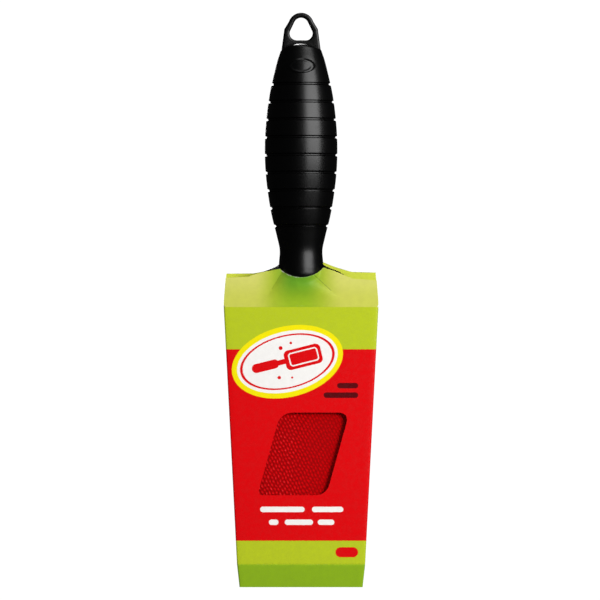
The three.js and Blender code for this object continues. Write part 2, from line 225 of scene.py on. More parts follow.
# The two creases that the neck has pushed into the front flap, each from its top to its foot.
RIGHT_CREASE = ((6.2, -118.9), (13.8, -125.9))
LEFT_CREASE = ((-9.5, -118.7), (-13.4, -125.2))
CREASE_PUSH = 3.6
CREASE_REACH = 4.5  # how far inside a crease about two thirds of the push has come
PUSH_WHOLE = -119.5  # height from which the neck pushes with full force
NECK_CLEAR = 0.25  # between the neck and the card that it pushes out
NECK_DRAPE = 1.2  # how softly the card turns from flat to the neck

WINDOW_TOP = -182.0
WINDOW_BOTTOM = -220.0
WINDOW_TOP_LEFT = -9.5
WINDOW_WIDTH = 31.7
WINDOW_SLANT = 10.6
WINDOW_CUTS = [2.8, 5.4, 5.4, 6.2]  # from the lower left corner, anticlockwise

RED_TOP = -152.9
RED_BOTTOM = -240.9

# ---- small maths ----


def smoothstep(low, high, value):
    share = np.clip((value - low) / (high - low), 0, 1)
    return share * share * (3 - 2 * share)


def smooth_max(a, b, width):
    width = np.maximum(width, 1e-6)
    near = np.maximum(width - np.abs(a - b), 0) / width
    return np.maximum(a, b) + near * near * width / 4


def hermite(t, start, end, start_slope, end_slope):
    """A smooth step from start to end, with slopes given for the whole step."""
    rise = t * t * (3 - 2 * t) * end + t * t * (t - 1) * end_slope
    return (1 + 2 * t) * (1 - t) ** 2 * start + t * (1 - t) ** 2 * start_slope + rise


def station_curve(stations, z):
    """A smooth curve through (height, radius) stations, read at the heights z."""
    heights = np.array([s[0] for s in stations], float)[::-1]
    radii = np.array([s[1] for s in stations], float)[::-1]
    slopes = np.gradient(radii, heights)
    z = np.clip(np.asarray(z, float), heights[0], heights[-1])
    i = np.clip(np.searchsorted(heights, z) - 1, 0, len(heights) - 2)
    step = heights[i + 1] - heights[i]
    t = (z - heights[i]) / step
    return hermite(t, radii[i], radii[i + 1], step * slopes[i], step * slopes[i + 1])


def bezier(start, bend, end, count):
    """Points on a quadratic curve, without its start."""
    t = np.linspace(0, 1, count + 1)[1:, None]
    a, b, c = (np.array(p, float) for p in (start, bend, end))
    return (1 - t) ** 2 * a + 2 * t * (1 - t) * b + t * t * c


def rounded_outline(corners, cuts, steps=8):
    """A closed outline rounded off from a cut's length before each corner to as far after it."""
    corners = [np.array(c, float) for c in corners]
    cuts = cuts if isinstance(cuts, list) else [cuts] * len(corners)
    points = []
    for i, (corner, cut) in enumerate(zip(corners, cuts)):
        before, after = corners[i - 1], corners[(i + 1) % len(corners)]
        start = corner + cut * (before - corner) / np.linalg.norm(before - corner)
        end = corner + cut * (after - corner) / np.linalg.norm(after - corner)
        points.append(start)
        points.extend(bezier(start, corner, end, steps))
    return np.array(points)


def offset_outline(points, distance):
    """Moves a closed counter-clockwise outline outwards along its own normals."""
    along = np.roll(points, -1, 0) - np.roll(points, 1, 0)
    normal = np.stack([along[:, 1], -along[:, 0]], 1)
    return points + distance * normal / np.linalg.norm(normal, axis=1)[:, None]


# ---- small mesh helpers ----

WELD = 1e-7  # metres; points closer than this are one point


def make_piece(name, points, faces, materials, face_slots=None, sharp=40):
    """A mesh object from points in millimetres, smooth but for edges over sharp degrees."""
    mesh = bpy.data.meshes.new(name)
    mesh.from_pydata([tuple(p) for p in np.asarray(points, float) * MM], [], faces)
    for material in materials:
        mesh.materials.append(material)
    if face_slots is not None:
        mesh.polygons.foreach_set("material_index", face_slots)
    mesh.shade_smooth()
    mesh.set_sharp_from_angle(angle=math.radians(sharp))
    piece = bpy.data.objects.new(name, mesh)
    bpy.context.scene.collection.objects.link(piece)
    return piece


def keep_rest_place(piece):
    """Stores each vertex's place at rest, so that a printed pattern doesn't slide when the piece bends."""
    count = len(piece.data.vertices)
    places = np.zeros(count * 3, np.float32)
    piece.data.vertices.foreach_get("co", places)
    attribute = piece.data.attributes.new("rest", "FLOAT_VECTOR", "POINT")
    attribute.data.foreach_set("vector", places)


def grid_faces(rows, columns):
    faces = []
    for i in range(rows - 1):
        for j in range(columns - 1):
            a = i * columns + j
            faces.append((a, a + 1, a + columns + 1, a + columns))
    return faces


def grid_rim(rows, columns):
    """The numbers of a grid's outermost points, once round."""
    last = (rows - 1) * columns
    rim = list(range(columns))
    rim += [i * columns + columns - 1 for i in range(1, rows)]
    rim += [last + j for j in range(columns - 2, -1, -1)]
    return rim + [i * columns for i in range(rows - 2, 0, -1)]


def band(a, b, count):
    """Faces between two closed rings of points, numbered from a and from b."""
    return [(a + j, a + (j + 1) % count, b + (j + 1) % count, b + j) for j in range(count)]


def loft(rings):
    """Points and faces of a closed solid through rings of equal size, capped at both ends."""
    count = len(rings[0])
    last = (len(rings) - 1) * count
    faces = [tuple(range(count))[::-1]]
    for start in range(0, last, count):
        faces += band(start, start + count, count)
    faces.append(tuple(range(last, last + count)))
    return np.concatenate(rings), faces


def upright(outline, y):
    """An outline in x and z as points at one depth."""
    return np.stack([outline[:, 0], np.full(len(outline), y), outline[:, 1]], 1)


def face_outwards(piece):
    mesh = bmesh.new()
    mesh.from_mesh(piece.data)
    bmesh.ops.remove_doubles(mesh, verts=mesh.verts, dist=WELD)
    bmesh.ops.recalc_face_normals(mesh, faces=mesh.faces)
    if mesh.calc_volume(signed=True) < 0:
        bmesh.ops.reverse_faces(mesh, faces=mesh.faces)
    mesh.to_mesh(piece.data)
    mesh.free()


def closed_piece(name, points, faces, materials, sharp=40):
    piece = make_piece(name, points, faces, materials, sharp=sharp)
    face_outwards(piece)
    return piece


def combine(piece, tool, operation):
    """Cuts or joins piece with tool, then deletes tool."""
    modifier = piece.modifiers.new("combine", "BOOLEAN")
    modifier.operation = operation
    modifier.solver = "MANIFOLD"
    modifier.object = tool
    bpy.context.view_layer.update()
    evaluated = piece.evaluated_get(bpy.context.evaluated_depsgraph_get())
    mesh = bpy.data.meshes.new_from_object(evaluated)
    piece.modifiers.clear()
    piece.data = mesh
    bpy.data.objects.remove(tool)


def smooth_again(piece, sharp):
    piece.data.shade_smooth()
    piece.data.set_sharp_from_angle(angle=math.radians(sharp))


def thick_sheet(outer, inner, present, closed=False):
    """Points, faces and face slots of a card sheet between two grids of points.

    outer and inner are (rows, columns, 3) arrays, present says which cells hold card, and closed joins the
    last column to the first. Slot 0 is the outer face, 1 the inner face and 2 the cut edge.
    """
    rows, columns = outer.shape[:2]
    points = np.concatenate([outer.reshape(-1, 3), inner.reshape(-1, 3)])
    size = rows * columns
    cells = present.shape[1]
    faces, slots = [], []

    def has(i, j):
        if closed:
            j %= cells
        return 0 <= i < rows - 1 and 0 <= j < cells and present[i, j]

    def at(i, j):
        return i * columns + j % columns

    def rim(a, b):
        faces.append((a, b, b + size, a + size))
        slots.append(2)

    for i in range(rows - 1):
        for j in range(cells):
            if not present[i, j]:
                continue
            a, b, c, d = at(i, j), at(i, j + 1), at(i + 1, j + 1), at(i + 1, j)
            faces.append((a, b, c, d))
            slots.append(0)
            faces.append((d + size, c + size, b + size, a + size))
            slots.append(1)
            sides = (((i - 1, j), (b, a)), ((i, j + 1), (c, b)), ((i + 1, j), (d, c)), ((i, j - 1), (a, d)))
            for neighbour, edge in sides:
                if not has(*neighbour):
                    rim(*edge)
    return points, faces, slots


def drop_loose(piece):
    mesh = bmesh.new()
    mesh.from_mesh(piece.data)
    bmesh.ops.delete(mesh, geom=[v for v in mesh.verts if not v.link_faces], context="VERTS")
    bmesh.ops.recalc_face_normals(mesh, faces=mesh.faces)
    mesh.to_mesh(piece.data)
    mesh.free()


# ---- small material helpers ----


def linear(red, green, blue):
    """A colour given as screen values from 0 to 255, as linear light."""

    def one(value):
        value /= 255
        return value / 12.92 if value <= 0.04045 else ((value + 0.055) / 1.055) ** 2.4

    return (one(red), one(green), one(blue), 1.0)


class Graph:
    """A material under construction. Its methods take numbers or sockets and return sockets."""

    def __init__(self, name):
        self.material = bpy.data.materials.new(name)
        self.material.use_nodes = True
        self.nodes = self.material.node_tree.nodes
        self.links = self.material.node_tree.links
        self.shader = self.nodes["Principled BSDF"]

    def feed(self, socket, value):
        if isinstance(value, bpy.types.NodeSocket):
            self.links.new(value, socket)
        else:
            socket.default_value = value

    def set(self, **values):
        for name, value in values.items():
            self.feed(self.shader.inputs[name.replace("_", " ")], value)

    def node(self, kind, inputs=(), **settings):
        """A new shader node with its settings, its inputs fed by name or by number."""
        node = self.nodes.new("ShaderNode" + kind)
        for name, value in settings.items():
            setattr(node, name, value)
        for key, value in dict(inputs).items():
            self.feed(node.inputs[key], value)
        return node

    def math(self, operation, a, b=0.0):
        return self.node("Math", {0: a, 1: b}, operation=operation).outputs[0]

    def add(self, a, b):
        return self.math("ADD", a, b)

    def sub(self, a, b):
        return self.math("SUBTRACT", a, b)

    def mul(self, a, b):
        return self.math("MULTIPLY", a, b)

    def most(self, a, b):
        return self.math("MAXIMUM", a, b)

    def least(self, a, b):
        return self.math("MINIMUM", a, b)

    def ramp(self, value, low, high, out_low=0.0, out_high=1.0):
        inputs = {"Value": value, "From Min": low, "From Max": high, "To Min": out_low, "To Max": out_high}
        return self.node("MapRange", inputs, interpolation_type="SMOOTHSTEP").outputs[0]

    def mix(self, factor, a, b):
        """Colour a, or colour b where the factor is 1; these are a mix node's colour sockets."""
        return self.node("Mix", {0: factor, 6: a, 7: b}, data_type="RGBA").outputs[2]

    def place(self):
        """The point on the piece, in the row frame at rest, in metres."""
        return self.node("TexCoord").outputs["Object"]

    def stored(self, name, output):
        """A value stored on the mesh."""
        return self.node("Attribute", attribute_name=name).outputs[output]

    def split(self, vector):
        return self.node("SeparateXYZ", {0: vector}).outputs

    def stretch(self, vector, x, y, z):
        return self.node("VectorMath", {0: vector, 1: (x, y, z)}, operation="MULTIPLY").outputs[0]

    def noise(self, vector, scale, detail=3.0, rough=0.5):
        inputs = {"Vector": vector, "Scale": scale, "Detail": detail, "Roughness": rough}
        return self.node("TexNoise", inputs).outputs["Fac"]

    def spots(self, vector, scale):
        return self.node("TexVoronoi", {"Vector": vector, "Scale": scale}).outputs["Distance"]

    def bump(self, height, depth, strength=1.0):
        inputs = {"Height": height, "Distance": depth, "Strength": strength}
        return self.node("Bump", inputs).outputs[0]


# ---- plastics and foam ----

BLACK = (0.0006, 0.0006, 0.0007, 1)
WORN_BLACK = (0.0025, 0.0025, 0.0027, 1)
PLATE_DARK = (0.018, 0.018, 0.02, 1)
PLATE_GREY = (0.03, 0.03, 0.032, 1)
FOAM_PORE = (0.36, 0.3, 0.2, 1)
FOAM_CREAM = (0.62, 0.55, 0.4, 1)


def black_plastic():
    """Satin black polypropylene: a fine moulded grain, faint flow marks and a little rubbed wear."""
    g = Graph("black_plastic")
    place = g.place()
    grain = g.noise(place, scale=1500, rough=0.6)
    flow = g.noise(g.stretch(place, 1, 1, 0.25), scale=60)
    scuffs = g.noise(g.stretch(place, 1, 1, 6), scale=90, detail=4.0, rough=0.7)
    wear = g.ramp(scuffs, 0.62, 0.78)
    unevenness = g.ramp(g.add(flow, g.mul(grain, 0.4)), 0.4, 0.9, 0.26, 0.34)
    g.set(
        Base_Color=g.mix(wear, BLACK, WORN_BLACK),
        Roughness=g.add(unevenness, g.mul(wear, 0.1)),
        Normal=g.bump(grain, depth=0.00004, strength=0.35),
    )
    g.shader.inputs["Specular IOR Level"].default_value = 0.44
    return g.material


def plate_plastic():
    """Dull grey-black backing plate, with a coarser grain."""
    g = Graph("plate_plastic")
    grain = g.noise(g.place(), scale=1100, detail=4.0)
    g.set(
        Base_Color=g.mix(grain, PLATE_DARK, PLATE_GREY),
        Roughness=g.ramp(grain, 0.3, 0.7, 0.5, 0.66),
        Normal=g.bump(grain, depth=0.00003),
    )
    return g.material


def foam_material():
    """Open-cell foam, cream coloured and porous."""
    g = Graph("foam")
    cells = g.spots(g.place(), scale=1500)
    g.set(
        Base_Color=g.mix(g.ramp(cells, 0.1, 0.6), FOAM_PORE, FOAM_CREAM),
        Roughness=0.95,
        Normal=g.bump(cells, depth=0.0002),
    )
    return g.material


# ---- red directional fabric ----

TUFT_PITCH = 2.1  # between tufts along a row
TUFT_ROW_PITCH = 1.42  # between rows
TUFT_ROW_TURN = math.radians(-62)  # how the rows lie against the horizontal
TUFT_RELIEF = 0.3
TUFT_BASE = 0.3  # height of a row between its tufts
PILE_FLATTENS = (-8, 13)  # from where to where, across the pad, the pile lies down
PILE_FLATTENING = 0.62
PILE_FLAT_HEIGHT = 0.2

# Pile colours: painted shade between the tufts, the pile's own red on their tips, and a painted highlight on
# the tips.
RED_VALLEY_SHADE = linear(150, 0, 2)
RED_TIP = linear(218, 0, 6)
RED_PATCH = linear(170, 0, 6)
RED_SHINE = linear(250, 66, 74)


def tuft_height(x, z):
    """Height of the pile, 0 to 1: slanting rows of tufts that straggle a little and lie flatter to one side.

    The sines only scatter the tufts, the same way each time.
    """
    along = x * math.cos(TUFT_ROW_TURN) + z * math.sin(TUFT_ROW_TURN)
    across = -x * math.sin(TUFT_ROW_TURN) + z * math.cos(TUFT_ROW_TURN)
    across = across + 0.16 * np.sin(along * 0.83 + 1.7 * np.sin(across * 0.31))
    across = across + 0.07 * np.sin(along * 2.9)
    row = np.floor(across / TUFT_ROW_PITCH)
    ridge = 0.5 - 0.5 * np.cos(2 * math.pi * across / TUFT_ROW_PITCH)
    shift = np.mod(np.sin(row * 12.9898) * 43.758, 1)
    phase = along / TUFT_PITCH + shift + 0.1 * np.sin(along * 1.3 + row)
    tuft = 0.5 + 0.5 * np.cos(2 * math.pi * phase)
    flat = smoothstep(*PILE_FLATTENS, x)
    standing = ridge**0.7 * (TUFT_BASE + (1 - TUFT_BASE) * tuft)
    return standing * (1 - PILE_FLATTENING * flat) + PILE_FLAT_HEIGHT * flat


def fabric_material():
    """Deep red pile: painted shade between the tufts, brighter on their tips with a painted highlight, and a
    velvet sheen.
    """
    g = Graph("red_fabric")
    place = g.place()
    pile = g.stored("pile", "Fac")
    fibre = g.noise(g.stretch(place, 1, 1, 0.5), scale=5200, detail=2.0, rough=0.6)
    patch = g.noise(place, scale=140, detail=2.0)
    # Painted shade between the tufts, the pile's own red on their tips.
    tip = g.ramp(g.add(pile, g.mul(g.sub(fibre, 0.5), 0.5)), 0.1, 0.7)
    red = g.mix(tip, RED_VALLEY_SHADE, RED_TIP)
    lit = g.ramp(g.noise(place, scale=420, detail=2.0), 0.35, 0.65, 0.25, 1.0)
    # Painted highlight on the tufts' tips, brighter in patches.
    shine = g.ramp(g.add(pile, g.mul(g.sub(fibre, 0.5), 0.6)), 0.7, 1.05)
    red = g.mix(g.mul(shine, lit), red, RED_SHINE)
    g.set(
        Base_Color=g.mix(g.ramp(patch, 0.35, 0.7, 0.0, 0.25), red, RED_PATCH),
        Roughness=0.85,
        Normal=g.bump(fibre, depth=0.0001, strength=0.7),
    )
    g.shader.inputs["Sheen Weight"].default_value = 0.08
    g.shader.inputs["Sheen Roughness"].default_value = 0.4
    g.shader.inputs["Sheen Tint"].default_value = (1.0, 0.12, 0.14, 1)
    g.shader.inputs["Specular IOR Level"].default_value = 0.08
    return g.material


# ---- printed card, with painted shade and highlight ----

LIME = linear(190, 207, 36)
MIDDLE_LIME = linear(176, 194, 52)
# Pale limes of the flaps' wings, paler upwards: painted highlight of the light from above on wings that lean
# back.
WING_HIGHLIGHT_LIME = linear(206, 210, 88)
WING_TOP_HIGHLIGHT_LIME = linear(218, 218, 112)
# Greener lime of the bottom bevels: painted shade tint of bevels that face down.
BEVEL_SHADE_GREEN = linear(167, 213, 38)
# Darker greens of the flaps' middle below the neck: painted shade of the neck, deepest next to it.
NECK_SHADE_FOLD_GREEN = linear(154, 188, 36)
NECK_SHADE_GREEN = linear(106, 164, 40)
# Lime of the flaps' inner faces, lighter than the outer lime: painted light against the shade on these faces.
LIME_INSIDE_PAINTED_LIGHT = linear(222, 232, 74)
RED = linear(229, 0, 8)
YELLOW = linear(255, 240, 0)
WHITE = (1.0, 0.98, 0.95, 1)
DARK_PRINT = linear(92, 6, 14)
BOARD = linear(214, 210, 198)
BOARD_INSIDE = linear(224, 220, 208)
BOARD_EDGE = linear(238, 236, 222)
BOARD_FIBRE = linear(170, 160, 140)
# Dark green of the lines along the neck's creases: painted shadow of the crease dents.
CREASE_SHADOW = linear(70, 96, 20)
DIRT = (0.02, 0.02, 0.01, 1)


class Print(Graph):
    """Flat artwork on card, in millimetres across (u) and up (v)."""

    def __init__(self, name):
        super().__init__(name)
        self.rest = self.stored("rest", "Vector")
        x, _, z = self.split(self.rest)
        self.u = self.mul(x, 1 / MM)
        self.v = self.mul(z, 1 / MM)

    def turned(self, centre, degrees):
        """Local artwork axes about a centre, turned anticlockwise."""
        du, dv = self.sub(self.u, centre[0]), self.sub(self.v, centre[1])
        c, s = math.cos(math.radians(degrees)), math.sin(math.radians(degrees))
        across = self.add(self.mul(du, c), self.mul(dv, s))
        up = self.sub(self.mul(dv, c), self.mul(du, s))
        return across, up

    def bar(self, across, up, centre, half_width, half_height, radius):
        """Distance outside a rounded bar, negative inside."""
        dx = self.sub(self.math("ABSOLUTE", self.sub(across, centre[0])), half_width - radius)
        dy = self.sub(self.math("ABSOLUTE", self.sub(up, centre[1])), half_height - radius)
        ox, oy = self.most(dx, 0.0), self.most(dy, 0.0)
        outside = self.math("SQRT", self.add(self.mul(ox, ox), self.mul(oy, oy)))
        return self.sub(self.add(outside, self.least(self.most(dx, dy), 0.0)), radius)

    def disc(self, across, up, centre, radius):
        dx, dy = self.sub(across, centre[0]), self.sub(up, centre[1])
        return self.sub(self.math("SQRT", self.add(self.mul(dx, dx), self.mul(dy, dy))), radius)

    def oval(self, across, up, half_width, half_height):
        """Roughly the distance outside an oval about the local centre."""
        dx, dy = self.mul(across, 1 / half_width), self.mul(up, 1 / half_height)
        reach = self.math("SQRT", self.add(self.mul(dx, dx), self.mul(dy, dy)))
        return self.mul(self.sub(reach, 1.0), min(half_width, half_height))

    def ink(self, distance, soft=0.12):
        return self.ramp(distance, -soft, soft, 1.0, 0.0)

    def finish_card(self, colour, rough=0.24, gloss=0.25):
        """Coated board: a slight unevenness of ink, soft undulation and paper tooth under a thin varnish."""
        tooth = self.noise(self.rest, scale=2400)
        sway = self.noise(self.rest, scale=34, detail=2.0)
        mottle = self.noise(self.rest, scale=420)
        shade = self.ramp(mottle, 0.3, 0.7, 0.0, 0.05)
        self.set(
            Base_Color=self.mix(shade, colour, DIRT),
            Roughness=self.ramp(self.add(mottle, self.mul(tooth, 0.3)), 0.4, 0.9, rough, rough + 0.06),
            Normal=self.bump(self.add(self.mul(tooth, 0.05), sway), depth=0.0003, strength=0.4),
        )
        self.shader.inputs["Specular IOR Level"].default_value = gloss
        return self.material


FOLD_LINE = 0.1  # half the width of a worn fold
FOLD_WEAR = 0.12


def worn_fold(p, colour, heights):
    """The print cracks to pale board in a broken hairline along each fold."""
    broken = p.ramp(p.noise(p.rest, scale=900, detail=4.0, rough=0.7), 0.5, 0.68)
    for height in heights:
        beside = p.math("ABSOLUTE", p.sub(p.v, height))
        near = p.ink(p.sub(beside, FOLD_LINE), 0.16)
        colour = p.mix(p.mul(p.mul(near, broken), FOLD_WEAR), colour, BOARD)
    return colour


EMBLEM_CENTRE = (-6.3, -158.6)
EMBLEM_TURN = 14
# Half widths and half heights of the emblem's ovals.
EMBLEM_RIM = (26.0, 16.2)
EMBLEM_GROUND = (23.6, 13.8)
EMBLEM_RING = (21.6, 11.9)
# The little brush, in the emblem's own axes, as (centre, half width, half height, corner radius).
BRUSH_PARTS = [
    ((7.6, 0.4), 8.6, 4.6, 2.2),
    ((-2.6, 0.4), 3.0, 1.2, 0.6),
    ((-10.3, 0.4), 6.4, 2.1, 2.1),
]
BRUSH_PANEL = ((7.8, 0.4), 6.6, 2.9, 1.2)
LINT_SPECKS = [((-1.5, 6.8), 0.9), ((3.6, 8.0), 0.6), ((-5.4, -6.2), 0.8), ((0.4, -7.6), 0.5)]


def sleeve_emblem(p, colour):
    """A plain white oval with a yellow rim, and a little brush with lint specks drawn in it."""
    across, up = p.turned(EMBLEM_CENTRE, EMBLEM_TURN)
    colour = p.mix(p.ink(p.oval(across, up, *EMBLEM_RIM)), colour, YELLOW)
    colour = p.mix(p.ink(p.oval(across, up, *EMBLEM_GROUND)), colour, WHITE)
    ring = p.math("ABSOLUTE", p.oval(across, up, *EMBLEM_RING))
    colour = p.mix(p.ink(p.sub(ring, 0.35)), colour, RED)
    brush = p.bar(across, up, *BRUSH_PARTS[0])
    for part in BRUSH_PARTS[1:]:
        brush = p.least(brush, p.bar(across, up, *part))
    colour = p.mix(p.ink(brush), colour, RED)
    panel = p.math("ABSOLUTE", p.bar(across, up, *BRUSH_PANEL))
    colour = p.mix(p.ink(p.sub(panel, 0.3)), colour, WHITE)
    for centre, radius in LINT_SPECKS:
        colour = p.mix(p.ink(p.disc(across, up, centre, radius)), colour, RED)
    return colour


# The plain bars, as (ink, centre, half width), and the pill.
BARS = [
    (WHITE, (-8.6, -226.5), 10.2),
    (WHITE, (12.2, -226.5), 7.2),
    (WHITE, (-12.6, -232.4), 2.2),
    (WHITE, (-1.0, -232.4), 6.5),
    (WHITE, (11.5, -232.4), 3.8),
    (DARK_PRINT, (21.4, -169.6), 4.8),
    (DARK_PRINT, (18.3, -174.0), 7.9),
]
BAR_HALF_HEIGHT = 1.25
PILL_CENTRE = (21.0, -246.2)
PILL_HALF_WIDTH = 5.2
PILL_HALF_HEIGHT = 2.3


def plain_lines(p, colour):
    """Rounded bars where a pack would carry its wording, and a pill at the lower right corner."""
    for ink_colour, centre, half_width in BARS:
        bar = p.bar(p.u, p.v, centre, half_width, BAR_HALF_HEIGHT, BAR_HALF_HEIGHT)
        colour = p.mix(p.ink(bar), colour, ink_colour)
    pill = p.bar(p.u, p.v, PILL_CENTRE, PILL_HALF_WIDTH, PILL_HALF_HEIGHT, PILL_HALF_HEIGHT)
    return p.mix(p.ink(pill), colour, RED)


def front_print_with_bevel_shade():
    """The sleeve's artwork: lime ends, a red middle, the emblem and the plain bars, with a greener painted
    shade tint on the bottom bevels.
    """
    p = Print("printed_card")
    front = p.ink(p.add(p.split(p.rest)[1], 0.004), 0.0005)
    in_red = p.least(p.ink(p.sub(p.v, RED_TOP)), p.ink(p.sub(RED_BOTTOM, p.v)))
    # Below the bottom fold the lime turns to the bevels' painted shade tint.
    ground = p.mix(p.ink(p.sub(p.v, BOTTOM_FOLD), 0.5), LIME, BEVEL_SHADE_GREEN)
    colour = p.mix(in_red, ground, RED)
    art = plain_lines(p, sleeve_emblem(p, colour))
    colour = p.mix(front, colour, art)
    colour = worn_fold(p, colour, [TOP_FOLD, BOTTOM_FOLD])
    return p.finish_card(colour)


CREASE_LINE = 0.11  # half the width of a crease's painted shadow line
RIGHT_CREASE_SHADOW = 0.75
LEFT_CREASE_SHADOW = 0.35
NECK_SHADE_MIDDLE = -1.3  # across the flap, where the painted shade below the neck is deepest


def flap_print_with_painted_light():
    """The flaps: pale lime wings with painted highlight, painted shade below the neck and painted shadow in
    its two creases.
    """
    p = Print("flap_card")
    beside = p.math("ABSOLUTE", p.sub(p.u, NECK_SHADE_MIDDLE))
    # Painted shade below the neck: the green darkens up towards the neck and fades sideways into the middle
    # lime.
    green = p.mix(p.ramp(p.v, TOP_FOLD, -120.5), NECK_SHADE_FOLD_GREEN, NECK_SHADE_GREEN)
    # Painted highlight on the wings: their pale lime grows paler upwards.
    pale = p.mix(p.ramp(p.v, TOP_FOLD + 2, -118.0), WING_HIGHLIGHT_LIME, WING_TOP_HIGHLIGHT_LIME)
    colour = p.mix(p.ramp(beside, 2.5, 14.5), green, MIDDLE_LIME)
    colour = p.mix(p.ramp(beside, 10.0, 21.0), colour, pale)
    # Each crease gets a thin painted shadow line, stronger on the right crease.
    for ((x0, z0), (x1, z1)), depth in ((RIGHT_CREASE, RIGHT_CREASE_SHADOW), (LEFT_CREASE, LEFT_CREASE_SHADOW)):
        length = math.hypot(x1 - x0, z1 - z0)
        turn = math.degrees(math.atan2(z1 - z0, x1 - x0))
        across, up = p.turned(((x0 + x1) / 2, (z0 + z1) / 2), turn)
        line = p.bar(across, up, (0, 0), length / 2, CREASE_LINE, CREASE_LINE)
        colour = p.mix(p.mul(p.ink(line, 0.18), depth), colour, CREASE_SHADOW)
    notch_centre = (0, NOTCH_BOTTOM + FRONT_NOTCH_RADIUS)
    notch = p.math("ABSOLUTE", p.disc(p.u, p.v, notch_centre, FRONT_NOTCH_RADIUS))
    frayed = p.ramp(p.noise(p.rest, scale=1300), 0.35, 0.6)
    lower_left = p.ramp(p.u, -9.5, 3.0, 1.0, 0.15)
    bare = p.mul(p.mul(p.ink(p.sub(notch, 0.3), 0.15), frayed), lower_left)
    colour = p.mix(bare, colour, BOARD)
    colour = worn_fold(p, colour, [TOP_FOLD])
    return p.finish_card(colour, rough=0.3, gloss=0.1)


def flap_inside_print_with_painted_light():
    """The flaps' inner faces, printed in a plain lime, lighter than the outer lime as painted light against
    their shade.
    """
    p = Print("flap_card_inside")
    return p.finish_card(LIME_INSIDE_PAINTED_LIGHT, rough=0.5)


def board_material(name, colour, rough):
    """Bare board: the sleeve's inside and its cut edges, with loose fibres."""
    g = Graph(name)
    fibre = g.noise(g.stretch(g.place(), 1, 1, 0.3), scale=1800, detail=4.0, rough=0.6)
    g.set(
        Base_Color=g.mix(g.ramp(fibre, 0.35, 0.75, 0.0, 0.25), colour, BOARD_FIBRE),
        Roughness=rough,
        Normal=g.bump(fibre, depth=0.00004),
    )
    return g.material


# ---- handle: two long half shells ----

# Points of a paddle row from its parting line to its middle.
WALL_COLUMNS = 4
EDGE_COLUMNS = 7
FLAT_COLUMNS = 8
MIDDLE_COLUMNS = 29
QUARTER_COLUMNS = WALL_COLUMNS + EDGE_COLUMNS + FLAT_COLUMNS + MIDDLE_COLUMNS
MIDDLE_REACH = 13.0  # half width of the closely divided middle,
MIDDLE_SHARE = 0.72  # or this share of the row if that is less

# Rows of the half shells.
DOME_ROWS = 70
DOME_ROW_SHARES = (0.04, 1.25)  # roots of the first and last row's shares of the dome's height
TOP_ROWS = 48  # from the dome to the first groove
TOP_ROWS_GAP = 0.3
TOP_ROWS_END = -28.6
GROOVE_ROWS = 15  # within the reach on both sides of a groove's middle
GROOVE_REACH = 1.0
BAND_ROWS = 8  # between two grooves
BAND_INSET = 1.6
NECK_ROWS = 12
ROW_GAP = 0.2
SHOULDER_ROWS = 26
SIDE_ROWS = 40
CORNER_ROWS = 16


def groove_cut(z):
    """How deep the ring grooves are at the heights z."""
    z = np.asarray(z, float)
    k = np.clip(np.round((GROOVE_TOP - z) / GROOVE_PITCH), 0, GROOVE_COUNT - 1)
    reach = np.abs(z - (GROOVE_TOP - k * GROOVE_PITCH)) / (GROOVE_WIDTH / 2)
    return GROOVE_DEPTH * (1 - smoothstep(GROOVE_FLOOR, 1.0, reach))


def side_outline():
    """The handle's half width from the neck down to the paddle's bottom, as (half width, height)."""
    parts = [
        np.array([SHOULDER_START]),
        bezier(SHOULDER_START, SHOULDER_BEND, SHOULDER_END, SHOULDER_ROWS),
        bezier(SHOULDER_END, PADDLE_CORNER, PADDLE_WIDEST, SHOULDER_ROWS),
        np.linspace(PADDLE_WIDEST, PADDLE_BOTTOM_SIDE, SIDE_ROWS)[1:],
    ]
    corner = (PADDLE_BOTTOM_SIDE[0], PADDLE_BOTTOM)
    end = (PADDLE_BOTTOM_SIDE[0] - PADDLE_BOTTOM_CORNER, PADDLE_BOTTOM)
    parts.append(bezier(PADDLE_BOTTOM_SIDE, corner, end, CORNER_ROWS))
    return np.concatenate(parts)


def handle_rows():
    """Heights of the half shell's rows: close together round the grooves and the shoulders."""
    rows = list(DOME_TOP - (DOME_TOP - DOME_SIDE) * np.linspace(*DOME_ROW_SHARES, DOME_ROWS) ** 2)
    rows += list(np.linspace(rows[-1] - TOP_ROWS_GAP, TOP_ROWS_END, TOP_ROWS))
    for k in range(GROOVE_COUNT):
        middle = GROOVE_TOP - k * GROOVE_PITCH
        rows += list(middle + np.linspace(GROOVE_REACH, -GROOVE_REACH, GROOVE_ROWS))
        rows += list(middle + np.linspace(-BAND_INSET, -GROOVE_PITCH + BAND_INSET, BAND_ROWS))
    rows = [z for z in rows if z > SHOULDER_START[1] + 2 * ROW_GAP]
    rows += list(np.linspace(rows[-1] - 3 * ROW_GAP, SHOULDER_START[1] + ROW_GAP, NECK_ROWS))
    rows += list(side_outline()[:, 1])
    return np.array(sorted(set(np.round(rows, 4)), reverse=True))


def paddle_depth(x, z, outline):
    """Depth of the flat paddle at points across one row, rounded over at its edge."""
    present = float(smoothstep(*PADDLE_BEGINS, z))
    if present == 0:
        return np.zeros_like(x), 0.0
    half_width = np.interp(-z, -outline[:, 1], outline[:, 0])
    shoulder = outline[outline[:, 1] >= PADDLE_WIDEST[1]]
    top = np.interp(np.abs(x), shoulder[:, 0], shoulder[:, 1])
    beside = np.maximum(half_width - np.abs(x), 0)
    below = np.maximum(top - z, 0)
    slanted = beside * below / np.maximum(np.hypot(beside, below), 1e-6)
    edge = np.minimum(slanted if z > PADDLE_WIDEST[1] else beside, np.maximum(z - PADDLE_BOTTOM, 0))
    radius = PADDLE_EDGE_RADIUS
    inside = radius - np.minimum(edge, radius)
    depth = PADDLE_HALF_DEPTH - radius + np.sqrt(np.maximum(radius**2 - inside**2, 0))
    return depth * present, present


